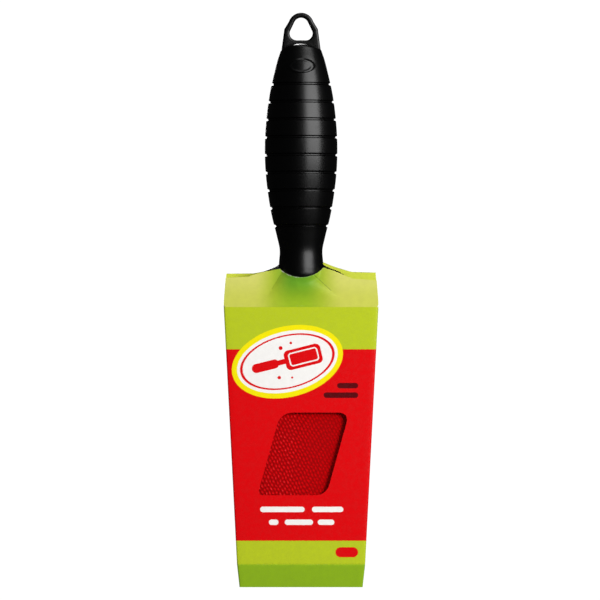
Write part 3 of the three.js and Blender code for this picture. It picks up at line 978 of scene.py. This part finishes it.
def row_places(half_width):
    """Where a paddle row's columns stand, from its right edge to the middle."""
    wall = np.full(WALL_COLUMNS, half_width)
    turn = np.linspace(0, math.pi / 2, EDGE_COLUMNS + 1)[1:]
    edge = half_width - PADDLE_EDGE_RADIUS * (1 - np.cos(turn))
    reach = min(MIDDLE_REACH, edge[-1] * MIDDLE_SHARE)
    flat = np.linspace(edge[-1], reach, FLAT_COLUMNS + 1)[1:]
    middle = np.linspace(reach, 0, MIDDLE_COLUMNS + 1)[1:]
    return np.concatenate([wall, edge, flat, middle])


def dome_radius(z, turns):
    """How far the domed end reaches at one height, in the directions turns from its right to its front."""
    to_side = (DOME_TOP - DOME_SIDE) / station_curve(GRIP_STATIONS, DOME_SIDE) ** 2
    to_front = (DOME_TOP - DOME_FRONT) / station_curve(GRIP_STATIONS, DOME_FRONT) ** 2
    return np.sqrt((DOME_TOP - z) / (to_side * np.cos(turns) ** 2 + to_front * np.sin(turns) ** 2))


def handle_row(z, outline):
    """The half shell's section at one height, from its right parting line to its left, as (x, depth)."""
    turns = np.linspace(0, math.pi / 2, QUARTER_COLUMNS)
    radius = float(station_curve(GRIP_STATIONS, z) - groove_cut(z))
    half_width = radius
    if z > DOME_SIDE - DOME_BLEND:
        rounding = DOME_SIDE_ROUNDING + (DOME_FRONT_ROUNDING - DOME_SIDE_ROUNDING) * np.sin(turns)
        radius = -smooth_max(-dome_radius(z, turns), -radius, rounding)
    elif z <= SHOULDER_START[1]:
        half_width = float(np.interp(-z, -outline[:, 1], outline[:, 0]))
        half_width = max(half_width, min(radius, SHOULDER_START[0]))
    share = float(smoothstep(*SECTIONS_FLATTEN, z))
    x = (1 - share) * radius * np.cos(turns) + share * row_places(half_width)
    neck = np.sqrt(np.maximum(radius**2 - x**2, 0))
    paddle, present = paddle_depth(x, z, outline)
    fade = 1 - float(smoothstep(*NECK_FADES, z))
    depth = smooth_max(neck * fade, paddle, NECK_BLEND * present * fade)
    wall_share = np.ones_like(x)
    wall_share[:WALL_COLUMNS] = np.linspace(0, 1, WALL_COLUMNS)
    depth = depth * ((1 - share) + share * wall_share)
    depth = np.maximum(depth, PARTING_GAP + PARTING_BEVEL)
    x = np.concatenate([[x[0] - PARTING_BEVEL], x])
    depth = np.concatenate([[PARTING_GAP], depth])
    return np.concatenate([x, -x[-2::-1]]), np.concatenate([depth, depth[-2::-1]])


def emblem_relief(x, z):
    """A plain raised oval on the grip, with a slightly lower middle."""
    reach = np.sqrt((x / EMBLEM_HALF_WIDTH) ** 2 + ((z - EMBLEM_HEIGHT_Z) / EMBLEM_HALF_HEIGHT) ** 2)
    edge = 1 - smoothstep(*EMBLEM_EDGE, reach)
    middle = 1 - smoothstep(*EMBLEM_MIDDLE, reach)
    return EMBLEM_RELIEF * (edge - EMBLEM_MIDDLE_DROP * middle)


def half_handle(side):
    """Grip, neck and paddle frame of one half shell as a closed solid. side is -1 in front, 1 behind."""
    outline = side_outline()
    heights = handle_rows()
    sections = [handle_row(z, outline) for z in heights]
    columns = len(sections[0][0])
    points = []
    for z, (x, depth) in zip(heights, sections):
        if side < 0 and abs(z - EMBLEM_HEIGHT_Z) < EMBLEM_HALF_HEIGHT * EMBLEM_MARGIN:
            depth = depth + emblem_relief(x, z) * (np.abs(x) < EMBLEM_HALF_WIDTH * EMBLEM_MARGIN)
        points.append(np.stack([x, side * depth, np.full_like(x, z)], 1))
    faces = grid_faces(len(heights), columns)
    for i in range(len(heights) - 1):
        a, b = i * columns, (i + 1) * columns
        faces.append((a, b, b + columns - 1, a + columns - 1))
    faces.append(tuple(range(columns)))
    last = (len(heights) - 1) * columns
    faces.append(tuple(range(last, last + columns)))
    return np.concatenate(points), faces


def pad_corners(outset):
    return [
        (-PAD_BOTTOM[0] - outset, PAD_BOTTOM[1] - outset),
        (PAD_BOTTOM[0] + outset, PAD_BOTTOM[1] - outset),
        (PAD_TOP[0] + outset, PAD_TOP[1] + outset),
        (-PAD_TOP[0] - outset, PAD_TOP[1] + outset),
    ]


def pad_opening_tool(side):
    """What is cut from a half shell: the pad's opening with a rolled edge, and the plate's pocket."""
    levels = [
        (-1.0, PLATE_POCKET_LAP),
        (PLATE_POCKET_DEPTH, PLATE_POCKET_LAP),
        (PLATE_POCKET_DEPTH, 0),
    ]
    levels += [(PADDLE_HALF_DEPTH - depth, outset) for depth, outset in PAD_ROLL]
    rings = []
    for depth, outset in levels:
        rings.append(upright(rounded_outline(pad_corners(outset), PAD_CORNER), side * depth))
    return closed_piece("tool", *loft(rings), [])


def loop_outline():
    """The loop plate's outer outline, anticlockwise from its foot."""
    turn = np.linspace(LOOP_CROWN_END, math.pi - LOOP_CROWN_END, 40)
    crown = LOOP_CROWN_RADIUS * np.stack([np.cos(turn), np.sin(turn)], 1) + (0, LOOP_CROWN_CENTRE)
    right = [LOOP_FOOT, LOOP_ROOT, LOOP_SHOULDER]
    left = [(-x, z) for x, z in reversed(right)]
    return np.concatenate([right, crown, left])


def hole_outline():
    """The hanging hole: a triangle with three round corners, anticlockwise."""
    x, z = HOLE_CORNER
    other_side = math.pi - HOLE_SIDE
    arcs = [
        ((x, z), HOLE_CORNER_RADIUS, -math.pi / 2, HOLE_SIDE),
        ((0, -HOLE_TOP_RADIUS), HOLE_TOP_RADIUS, HOLE_SIDE, other_side),
        ((-x, z), HOLE_CORNER_RADIUS, other_side, 1.5 * math.pi),
    ]
    parts = []
    for (x, z), radius, start, end in arcs:
        turn = np.linspace(start, end, 20)
        parts.append(np.stack([x + radius * np.cos(turn), z + radius * np.sin(turn)], 1))
    return np.concatenate(parts)


FINE_OUTLINE = 4000  # points of an outline when rays are laid on it


def seen_from(centre, outline, turns):
    """Where rays from a centre meet a closed outline."""
    spot = outline - np.array(centre)
    spot = np.vstack([spot, spot[:1]])
    fine = np.linspace(0, len(spot) - 1, FINE_OUTLINE)
    fine_x = np.interp(fine, range(len(spot)), spot[:, 0])
    fine_z = np.interp(fine, range(len(spot)), spot[:, 1])
    fine_angle = np.unwrap(np.arctan2(fine_z, fine_x))
    wanted = fine_angle[0] + np.mod(turns - fine_angle[0], 2 * math.pi)
    x = np.interp(wanted, fine_angle, fine_x)
    z = np.interp(wanted, fine_angle, fine_z)
    return np.stack([x, z], 1) + np.array(centre)


LOOP_COLUMNS = 180
LOOP_ROLL_STEPS = 7
SHELL_SHARP = 32  # degrees; edges sharper than this stay sharp


def half_loop(side):
    """One half of the flat hanging loop: a plate with rolled edges round its rim and its hole."""
    turns = np.linspace(0, 2 * math.pi, LOOP_COLUMNS + 1)[:-1]
    rim = seen_from(LOOP_MIDDLE, loop_outline(), turns)
    hole = seen_from(LOOP_MIDDLE, hole_outline(), turns)
    levels = [(LOOP_PARTING_GAP, PARTING_BEVEL), (LOOP_PARTING_GAP + PARTING_BEVEL, 0.0)]
    for turn in np.linspace(0, math.pi / 2, LOOP_ROLL_STEPS):
        depth = LOOP_HALF_THICKNESS - LOOP_EDGE_RADIUS * (1 - math.sin(turn))
        levels.append((depth, LOOP_EDGE_RADIUS * (1 - math.cos(turn))))
    rings = [(depth, offset_outline(rim, -inset)) for depth, inset in levels]
    rings += [(depth, offset_outline(hole, inset)) for depth, inset in reversed(levels)]
    count = len(turns)
    points = [upright(outline, side * depth) for depth, outline in rings]
    faces = []
    for i in range(len(rings)):
        after = (i + 1) % len(rings)
        faces += band(i * count, after * count, count)
    return np.concatenate(points), faces


def make_shell(end, side, material):
    """One moulded half of the handle, with its pad's opening and its half of the hanging loop."""
    shell = closed_piece(f"{end}_handle_half", *half_handle(side), [material])
    combine(shell, pad_opening_tool(side), "DIFFERENCE")
    combine(shell, closed_piece("tool", *half_loop(side), [material]), "UNION")
    smooth_again(shell, SHELL_SHARP)
    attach(shell, "brush")
    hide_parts(f"{end}_shell")


# ---- pads: foam and fabric ----

CAGE_ROWS = 31
CAGE_COLUMNS = 17
FINE = 12  # fine rows and columns for each one of the cage
FABRIC_SWELL = 0.32  # the most that the filled fabric may move
FABRIC_EDGE_RISE = 0.7  # the fabric's face above its back, near its edge
FOAM_GAP = 0.2  # between the foam's edge and the fabric's
FOAM_FINE = 3
CROWN_GAP = 0.1  # kept between a crown and the face that it rises to
CROWN_REACH = 9  # how far in from the edge a pad still rises
EDGE_ROLL = (-0.9, 2.2)  # how far in a pad's edge rolls over; it starts outside, so that a wall is left
EVEN_ROWS = 0.45  # share of even spacing; the rest crowds a cage's rows towards the ends
EVEN_COLUMNS = 0.5
CORNER_STEPS = 24
CAGE_END_GAP = 0.05  # how far a cage's end rows stand inside the pad's ends
CLOTH_STEPS = 20
PAD_SHARP = 70  # degrees


def pad_half_width(z, inset):
    """The pad's half width at the heights z, with its rounded corners."""
    outline = rounded_outline(pad_corners(-inset), PAD_CORNER, CORNER_STEPS)
    right = outline[outline[:, 0] > 0]
    order = np.argsort(right[:, 1])
    return np.interp(z, right[order, 1], right[order, 0])


def cage_shares(count, even):
    """Places from 0 to 1 that crowd towards both ends, but for the share that is even."""
    bunched = 0.5 - 0.5 * np.cos(np.linspace(0, math.pi, count))
    return (1 - even) * bunched + even * np.linspace(0, 1, count)


def pad_cage(inset, depth_back, depth_edge, depth_middle, side):
    """Front and back grids of a crowned pad, each (rows, columns, 3)."""
    low, high = PAD_BOTTOM[1] + inset, PAD_TOP[1] - inset
    share = cage_shares(CAGE_ROWS, EVEN_ROWS)
    heights = high - CAGE_END_GAP + (low - high + 2 * CAGE_END_GAP) * share
    across = 2 * cage_shares(CAGE_COLUMNS, EVEN_COLUMNS) - 1
    half_width = pad_half_width(heights, inset)
    x = half_width[:, None] * across[None, :]
    z = np.repeat(heights[:, None], CAGE_COLUMNS, 1)
    edge = np.minimum(half_width[:, None] - np.abs(x), np.minimum(high - z, z - low))
    crown = depth_edge + (depth_middle - depth_edge) * smoothstep(0, CROWN_REACH, edge)
    rolled = depth_back + (crown - depth_back) * np.sqrt(smoothstep(*EDGE_ROLL, edge))
    front = np.stack([x, side * rolled, z], 2)
    back = np.stack([x, np.full_like(x, side * depth_back), z], 2)
    return front, back


def inflated(front, back):
    """Fills the fabric with cloth simulation and returns its front grid, moved by no more than its swell."""
    rows, columns = front.shape[:2]
    size = rows * columns
    points = np.concatenate([front.reshape(-1, 3), back.reshape(-1, 3)])
    faces = grid_faces(rows, columns)
    faces += [tuple(size + v for v in reversed(f)) for f in grid_faces(rows, columns)]
    rim = grid_rim(rows, columns)
    for k, a in enumerate(rim):
        b = rim[(k + 1) % len(rim)]
        faces.append((b, a, a + size, b + size))
    cage = closed_piece("cage", points, faces, [])
    pinned = cage.vertex_groups.new(name="pinned")
    back_depth = abs(back[0, 0, 1]) * MM
    pinned.add([v.index for v in cage.data.vertices if abs(abs(v.co.y) - back_depth) < 1e-6], 1.0, "REPLACE")
    cloth = cage.modifiers.new("cloth", "CLOTH").settings
    cloth.quality = 6
    cloth.mass = 0.2
    cloth.tension_stiffness = 12
    cloth.compression_stiffness = 12
    cloth.bending_stiffness = 0.4
    cloth.use_pressure = True
    cloth.uniform_pressure_force = 4
    cloth.vertex_group_mass = "pinned"
    cloth.effector_weights.gravity = 0
    scene = bpy.context.scene
    for step in range(1, CLOTH_STEPS + 1):
        scene.frame_set(step)
    evaluated = cage.evaluated_get(bpy.context.evaluated_depsgraph_get())
    moved = np.array([v.co for v in evaluated.data.vertices]) / MM
    start = np.array([v.co for v in cage.data.vertices]) / MM
    scene.frame_set(1)
    bpy.data.objects.remove(cage)
    shift = {tuple(np.round(s, 3)): m - s for s, m in zip(start, moved)}
    result = front.copy()
    for i in range(rows):
        for j in range(columns):
            move = shift.get(tuple(np.round(front[i, j], 3)))
            if move is None:
                continue
            length = np.linalg.norm(move)
            result[i, j] += move * min(1, FABRIC_SWELL / max(length, 1e-9))
    return result


def refined(grid, factor):
    """A grid of points made finer by smooth curves through its rows and columns."""

    def along_first(values):
        count = values.shape[0]
        places = np.linspace(0, count - 1, (count - 1) * factor + 1)
        i = np.clip(np.floor(places).astype(int), 0, count - 2)
        t = (places - i)[:, None, None]
        slopes = np.gradient(values, axis=0)
        return hermite(t, values[i], values[i + 1], slopes[i], slopes[i + 1])

    fine = along_first(grid)
    return along_first(fine.transpose(1, 0, 2)).transpose(1, 0, 2)


def closed_pad(name, front, depth_back, side, material):
    """A closed piece: the fine front grid, a short wall round it and a flat back."""
    rows, columns = front.shape[:2]
    faces = grid_faces(rows, columns)
    rim = grid_rim(rows, columns)
    points = front.reshape(-1, 3)
    wall = points[rim].copy()
    wall[:, 1] = side * depth_back
    base = len(points)
    for k, a in enumerate(rim):
        after = (k + 1) % len(rim)
        faces.append((a, rim[after], base + after, base + k))
    faces.append(tuple(range(base, base + len(rim))))
    return closed_piece(name, np.concatenate([points, wall]), faces, [material], PAD_SHARP)


def make_fabric(end, side, material):
    """The red pile fabric: a crowned, filled pad covered in slanting rows of tufts."""
    depth_back = -fabric_high.y
    crown = -fabric_low.y
    front, back = pad_cage(PAD_GAP, depth_back, depth_back + FABRIC_EDGE_RISE, crown - CROWN_GAP, side)
    front = inflated(front, back)
    fine = refined(front, FINE)
    edge = np.minimum(
        pad_half_width(fine[..., 2], PAD_GAP) - np.abs(fine[..., 0]),
        np.minimum(PAD_TOP[1] - PAD_GAP - fine[..., 2], fine[..., 2] - PAD_BOTTOM[1] - PAD_GAP),
    )
    pile = tuft_height(fine[..., 0] * -side, fine[..., 2])
    fine[..., 1] += side * TUFT_RELIEF * (pile - 0.5) * smoothstep(0.2, 1.6, edge)
    piece = closed_pad(f"{end}_pile_fabric", fine, depth_back, side, material)
    values = np.array([v.co for v in piece.data.vertices]) / MM
    attribute = piece.data.attributes.new("pile", "FLOAT", "POINT")
    pile = tuft_height(values[:, 0] * -side, values[:, 2])
    attribute.data.foreach_set("value", pile.astype(np.float32))
    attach(piece, "brush")
    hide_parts(f"{end}_fabric")


def make_foam(end, side, material):
    """The thin foam sheet between the pad's plate and its fabric."""
    depth_back = -foam_high.y
    depth_face = -foam_low.y
    front, _ = pad_cage(PAD_GAP + FOAM_GAP, depth_back, depth_face - CROWN_GAP, depth_face, side)
    piece = closed_pad(f"{end}_foam_sheet", refined(front, FOAM_FINE), depth_back, side, material)
    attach(piece, "brush")
    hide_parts(f"{end}_foam")


# ---- card sleeve ----


PANEL_COLUMNS = 31  # points across the front and the rear panel
SIDE_COLUMNS = 8
CORNER_COLUMNS = 6
PANEL_ROWS = 40
FOLD_ROWS = 13
FOLD_ROWS_REACH = 1.4
BEVEL_ROWS = 7
ROWS_APART = 2  # between the bottom fold and the rows beside it
GUSSET_ROWS = 9
SLEEVE_SHARP = 30  # degrees
THINNEST = 0.1  # least half depth of the sleeve's inner face at its bottom edge
LEAST_RADIUS = 0.3


def sleeve_half_width(z):
    heights = [BOTTOM_EDGE, BOTTOM_FOLD, TOP_FOLD, FLAP_TIP_HEIGHT]
    widths = [BOTTOM_EDGE_HALF_WIDTH, BOTTOM_FOLD_HALF_WIDTH, TOP_FOLD_HALF_WIDTH, FLAP_TIP_HALF_WIDTH]
    return np.interp(z, heights, widths)


def sleeve_half_depth(z):
    """Half the sleeve's depth: straight, then round over the bottom fold into the bevel."""
    slope = (SLEEVE_HALF_DEPTH - BOTTOM_EDGE_HALF_DEPTH) / (BOTTOM_FOLD - BOTTOM_EDGE)
    below = BOTTOM_FOLD - np.asarray(z, float)
    bend = smooth_max(below, np.zeros_like(below), FOLD_ROUNDING)
    return SLEEVE_HALF_DEPTH - slope * bend


def sleeve_section(z, inset):
    """The sleeve's outline at one height, smaller by inset: its front and right side, then the others.

    It runs anticlockwise seen from above and starts at the front left corner.
    """
    half_width = float(sleeve_half_width(z)) - inset
    half_depth = max(float(sleeve_half_depth(z)) - inset, THINNEST)
    radius = min(max(SLEEVE_CORNER_RADIUS - inset, LEAST_RADIUS), half_depth * 0.9)
    turn = np.linspace(0, math.pi / 2, CORNER_COLUMNS)
    sweep = radius * np.stack([np.sin(turn), np.cos(turn)], 1)
    centre_x, centre_y = half_width - radius, half_depth - radius
    front_x = np.linspace(-centre_x, centre_x, PANEL_COLUMNS)
    front = np.stack([front_x, np.full(PANEL_COLUMNS, -half_depth)], 1)
    right_front = np.stack([centre_x + sweep[:, 0], -centre_y - sweep[:, 1]], 1)[1:]
    side_y = np.linspace(-centre_y, centre_y, SIDE_COLUMNS + 1)[1:]
    right = np.stack([np.full(SIDE_COLUMNS, half_width), side_y], 1)
    right_rear = np.stack([centre_x + sweep[::-1, 0], centre_y + sweep[::-1, 1]], 1)[1:]
    half = np.concatenate([front, right_front, right, right_rear])
    return half, -half


def sleeve_ring(z, inset, bulge):
    """One closed ring of the sleeve, its front and rear swelling by bulge in the middle."""
    first, second = sleeve_section(z, inset)
    ring = np.concatenate([first, second])
    face = np.abs(ring[:, 1]) > abs(first[PANEL_COLUMNS // 2, 1]) * 0.98
    swell = bulge * np.cos(np.clip(ring[:, 0] / first[:, 0].max(), -1, 1) * math.pi / 2)
    ring[:, 1] += np.sign(ring[:, 1]) * swell * face
    return np.column_stack([ring, np.full(len(ring), z)])


def window_tool(material):
    """What is cut from the sleeve's front: a slanted window with four rounded corners."""
    right = WINDOW_TOP_LEFT + WINDOW_WIDTH
    corners = [
        (WINDOW_TOP_LEFT - WINDOW_SLANT, WINDOW_BOTTOM),
        (right - WINDOW_SLANT, WINDOW_BOTTOM),
        (right, WINDOW_TOP),
        (WINDOW_TOP_LEFT, WINDOW_TOP),
    ]
    outline = rounded_outline(corners, WINDOW_CUTS, 12)
    levels = (-SLEEVE_HALF_DEPTH - 3, -SLEEVE_HALF_DEPTH + 2)  # from well in front to well behind the card
    return closed_piece("tool", *loft([upright(outline, y) for y in levels]), [material])


def make_sleeve(printed, inside, edge):
    """Panels and bottom bevels as one folded card, with the side gussets above the top folds."""
    top = TOP_FOLD - FLAP_SEAM
    panel_rows = np.linspace(top, BOTTOM_FOLD + ROWS_APART, PANEL_ROWS)
    fold_rows = BOTTOM_FOLD + np.linspace(FOLD_ROWS_REACH, -FOLD_ROWS_REACH, FOLD_ROWS)
    bevel_rows = np.linspace(BOTTOM_FOLD - ROWS_APART, BOTTOM_EDGE, BEVEL_ROWS)
    heights = np.concatenate([panel_rows, fold_rows, bevel_rows])
    gusset_rows = np.linspace(GUSSET_TIP, top, GUSSET_ROWS)[:-1]
    outer, inner = [], []
    for z in gusset_rows:
        share = (z - top) / (GUSSET_TIP - top)
        tip_depth = SLEEVE_HALF_DEPTH - FLAP_LEAN * (GUSSET_TIP - TOP_FOLD) - CARD - GUSSET_GAP
        for rings, inset in ((outer, 0.0), (inner, CARD)):
            ring = sleeve_ring(top, inset, 0)
            side_depth = SLEEVE_HALF_DEPTH - SLEEVE_CORNER_RADIUS
            ring[:, 1] *= (side_depth + (tip_depth - side_depth) * share) / side_depth
            ring[:, 0] += np.sign(ring[:, 0]) * (float(sleeve_half_width(z)) - float(sleeve_half_width(top)))
            ring[:, 2] = z
            rings.append(ring)
    middle = (top + BOTTOM_FOLD) / 2
    half_height = (top - BOTTOM_FOLD) / 2
    for z in heights:
        bulge = PANEL_BULGE * max(0.0, 1 - ((z - middle) / half_height) ** 2)
        outer.append(sleeve_ring(z, 0.0, bulge))
        inner.append(sleeve_ring(z, CARD, bulge))
    outer, inner = np.array(outer), np.array(inner)
    present = np.ones((len(outer) - 1, outer.shape[1]), bool)
    flat = np.abs(outer[len(gusset_rows), :, 1]) <= SLEEVE_HALF_DEPTH - SLEEVE_CORNER_RADIUS + 1e-4
    side_cells = flat & np.roll(flat, -1)
    present[: len(gusset_rows)] = side_cells
    points, faces, slots = thick_sheet(outer, inner, present, closed=True)
    sleeve = make_piece("carton_body", points, faces, [printed, inside, edge], slots)
    drop_loose(sleeve)
    combine(sleeve, window_tool(printed), "DIFFERENCE")
    smooth_again(sleeve, SLEEVE_SHARP)
    keep_rest_place(sleeve)
    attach(sleeve, "sleeve")
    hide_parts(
        "carton_front_panel",
        "carton_rear_panel",
        "carton_left_side",
        "carton_right_side",
        "carton_glue_tab",
        "carton_front_bottom",
        "carton_rear_bottom",
    )


def inside_creases(x, z):
    """How far a point on the front flap lies inside the two creases; negative outside."""
    reach = np.full(np.shape(x), 1e3)
    for ((x0, z0), (x1, z1)), turn in ((RIGHT_CREASE, -1), (LEFT_CREASE, 1)):
        length = math.hypot(x1 - x0, z1 - z0)
        away = turn * ((x1 - x0) * (z - z0) - (z1 - z0) * (x - x0)) / length
        reach = np.minimum(reach, away)
    return reach


def flap_edge(edge, notch_radius, x):
    """Height of a flap's free edge at x, with the neck's notch."""
    corners = np.array(edge, float)
    heights = np.interp(x, corners[:, 0], corners[:, 1])
    notch = NOTCH_BOTTOM + notch_radius - np.sqrt(np.maximum(notch_radius**2 - x**2, 0))
    return np.where(np.abs(x) < notch_radius, np.minimum(heights, notch), heights)


FLAP_COLUMNS = 61
NECK_COLUMNS = 81  # more columns over the middle of the width
NECK_COLUMNS_SHARE = 0.42
CREASE_ROWS = 9  # rows near the crease, over a small share of a flap's height
CREASE_ROWS_SHARE = 0.16
FLAP_ROWS = 30  # rows above them, up to the flap's last strip
FLAP_LAST_STRIP = 0.975
FLAP_SHARP = 25  # degrees


def flap_grid_shares():
    """Where a flap's columns and rows stand: across from -1 to 1, and up from 0 to 1."""
    whole = np.linspace(-1, 1, FLAP_COLUMNS)
    neck = np.linspace(-NECK_COLUMNS_SHARE, NECK_COLUMNS_SHARE, NECK_COLUMNS)
    across = np.unique(np.round(np.concatenate([whole, neck]), 4))
    crease = np.linspace(0, CREASE_ROWS_SHARE, CREASE_ROWS)[:-1]
    up = np.concatenate([crease, np.linspace(CREASE_ROWS_SHARE, FLAP_LAST_STRIP, FLAP_ROWS), [1.0]])
    return across, up


def make_flap(end, edge, notch_radius, side, materials):
    """A top flap bent over its crease, with its own card carried a little below the fold."""
    across, share = flap_grid_shares()
    foot = TOP_FOLD - FLAP_SEAM
    base_half_width = float(sleeve_half_width(foot))
    tip_x = across * (FLAP_TIP_HALF_WIDTH + 0.3)
    tips = flap_edge(edge, notch_radius, tip_x)
    z = foot + (tips[None, :] - foot) * share[:, None]
    narrowing = (TOP_FOLD_HALF_WIDTH - FLAP_TIP_HALF_WIDTH) * smoothstep(TOP_FOLD, -112, z) ** 0.8
    corner = SLEEVE_CORNER_RADIUS * 0.55 * (1 - smoothstep(TOP_FOLD - 0.6, TOP_FOLD + 0.8, z))
    x = across[None, :] * (base_half_width - narrowing - corner)
    bend = smooth_max(z - TOP_FOLD, np.zeros_like(z), FOLD_ROUNDING)
    depth = SLEEVE_HALF_DEPTH - FLAP_LEAN * bend
    wings = smoothstep(*FLAP_WINGS, np.abs(x)) * smoothstep(TOP_FOLD, FLAP_TIP_HEIGHT, z)
    inside = np.maximum(inside_creases(x, z), 0)
    pushed = (1 - np.exp(-inside / CREASE_REACH)) * smoothstep(TOP_FOLD + 1, PUSH_WHOLE, z)
    depth = depth + FLAP_WING_LIFT * wings + CREASE_PUSH * pushed
    neck = np.sqrt(np.maximum(station_curve(GRIP_STATIONS, z) ** 2 - x**2, 0)) + CARD + NECK_CLEAR
    depth = smooth_max(depth, neck, NECK_DRAPE)
    outer = np.stack([x, side * depth, z], 2)
    inner_z = z - CARD * FLAP_LEAN * smoothstep(TOP_FOLD, TOP_FOLD + 1, z)
    inner = np.stack([x, side * (depth - CARD), inner_z], 2)
    if side > 0:
        outer, inner = outer[:, ::-1], inner[:, ::-1]
    present = np.ones((len(share) - 1, len(across) - 1), bool)
    points, faces, slots = thick_sheet(outer[::-1], inner[::-1], present)
    flap = make_piece(f"{end}_top_flap", points, faces, materials, slots, FLAP_SHARP)
    drop_loose(flap)
    smooth_again(flap, FLAP_SHARP)
    keep_rest_place(flap)
    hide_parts(f"carton_{end}_flap")
    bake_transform(flap)


# ---- camera, lights and stage ----

VIEW_HEIGHT_SHARE = 1.0448  # height of the picture against the object's
CAMERA_AWAY = 2.6
CAMERA_RIGHT = -0.0005
SENSOR = 36
WORLD_SEEN = 1.05
WORLD_FILL = 0.27
WORLD_REFLECTED = 0.015
FLOOR_HALF = 1.5
FLOOR_DROP = 0.17  # below the hanging object, so that its sleeve can slide off
FLOOR_GLOW = 0.9
# Each light's distance from what it looks at, how far that lies above the object's middle, its azimuth
# (0 in front, 90 to the right), elevation, width, height and power, and the rays that it's hidden from.
LIGHTS = [
    ("key_gloss", 0.9, 0.04, 40, 18, 0.76, 0.68, 8.5, "diffuse"),
    ("key_shade", 0.9, 0.04, 28, 5, 0.22, 0.22, 6.5, "glossy"),
    ("rear_gloss", 1.2, 0.04, 188, 20, 0.3, 0.7, 3.0, "diffuse"),
    ("rear_shade", 1.0, 0.04, 205, 20, 0.3, 0.3, 6.0, "glossy"),
    ("rim", 1.2, 0, 186, 30, 0.3, 0.4, 1.8, None),
    ("top", 1.0, 0, 0, 75, 0.3, 0.5, 1.0, None),
]


def make_camera(low, high):
    data = bpy.data.cameras.new("camera")
    camera = bpy.data.objects.new("camera", data)
    bpy.context.scene.collection.objects.link(camera)
    data.sensor_width = SENSOR
    data.lens = SENSOR * CAMERA_AWAY / (VIEW_HEIGHT_SHARE * (high.z - low.z))
    camera.location = (CAMERA_RIGHT, -CAMERA_AWAY, (low.z + high.z) / 2)
    camera.rotation_euler = (math.pi / 2, 0, 0)
    bpy.context.scene.camera = camera


def area_light(name, target, away, azimuth, elevation, width, height, power):
    """A soft box that looks at target from an azimuth and elevation in degrees."""
    data = bpy.data.lights.new(name, "AREA")
    data.shape = "RECTANGLE"
    data.size, data.size_y = width, height
    data.energy = power
    a, e = math.radians(azimuth), math.radians(elevation)
    back = Vector((math.sin(a) * math.cos(e), -math.cos(a) * math.cos(e), math.sin(e)))
    light = bpy.data.objects.new(name, data)
    light.location = target + back * away
    light.rotation_euler = (-back).to_track_quat("-Z", "Y").to_euler()
    bpy.context.scene.collection.objects.link(light)
    return light


def make_lights(middle):
    """In front and behind, a wide box seen in the gloss and a smaller one for the shading."""
    for name, away, rise, azimuth, elevation, width, height, power, hidden in LIGHTS:
        target = middle + Vector((0, 0, rise))
        light = area_light(name, target, away, azimuth, elevation, width, height, power)
        if hidden == "diffuse":
            light.visible_diffuse = False
        elif hidden == "glossy":
            light.visible_glossy = False


def make_world():
    """White where the camera looks past the object, a soft even fill, and nearly dark in reflections."""
    world = bpy.data.worlds.new("world")
    bpy.context.scene.world = world
    world.use_nodes = True
    nodes, links = world.node_tree.nodes, world.node_tree.links
    background = nodes["Background"]
    background.inputs["Color"].default_value = (1, 1, 1, 1)
    path = nodes.new("ShaderNodeLightPath")
    strength = None
    for ray, other, brightness in (
        ("Is Glossy Ray", WORLD_FILL, WORLD_REFLECTED),
        ("Is Camera Ray", None, WORLD_SEEN),
    ):
        mix = nodes.new("ShaderNodeMix")
        mix.data_type = "FLOAT"
        links.new(path.outputs[ray], mix.inputs[0])
        if other is None:
            links.new(strength, mix.inputs[2])
        else:
            mix.inputs[2].default_value = other
        mix.inputs[3].default_value = brightness
        strength = mix.outputs[0]
    links.new(strength, background.inputs["Strength"])


def make_floor(low):
    """A plain pale floor that doesn't tint the object."""
    g = Graph("floor")
    g.set(Base_Color=(0.3, 0.3, 0.3, 1), Roughness=0.8)
    g.set(Emission_Color=(1, 1, 1, 1), Emission_Strength=FLOOR_GLOW)
    mesh = bpy.data.meshes.new("floor")
    half, height = FLOOR_HALF, low.z - FLOOR_DROP
    corners = [(-half, -half, height), (half, -half, height), (half, half, height), (-half, half, height)]
    mesh.from_pydata(corners, [], [(0, 1, 2, 3)])
    mesh.materials.append(g.material)
    floor = bpy.data.objects.new("floor", mesh)
    bpy.context.scene.collection.objects.link(floor)
    floor.visible_glossy = False
    floor.visible_diffuse = False


# ---- the object ----

low, high = cad_box
make_camera(low, high)
make_lights((low + high) / 2)
make_world()
make_floor(low)
bpy.context.scene.view_settings.view_transform = "Standard"

plastic = black_plastic()
fabric = fabric_material()
foam = foam_material()
plate = plate_plastic()
printed = front_print_with_bevel_shade()
flap_outside = flap_print_with_painted_light()
flap_inside = flap_inside_print_with_painted_light()
board_inside = board_material("board_inside", BOARD_INSIDE, rough=0.7)
board_edge = board_material("board_edge", BOARD_EDGE, rough=0.8)

for end, side in (("front", -1), ("rear", 1)):
    make_shell(end, side, plastic)
    make_foam(end, side, foam)
    make_fabric(end, side, fabric)
    plate_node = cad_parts[f"{end}_pad_plate"]
    plate_node.data.materials.clear()
    plate_node.data.materials.append(plate)

make_sleeve(printed, board_inside, board_edge)
flap_materials = [flap_outside, flap_inside, board_edge]
make_flap("front", FRONT_FLAP_EDGE, FRONT_NOTCH_RADIUS, -1, flap_materials)
make_flap("rear", REAR_FLAP_EDGE, REAR_NOTCH_RADIUS, 1, flap_materials)

bpy.context.view_layer.update()
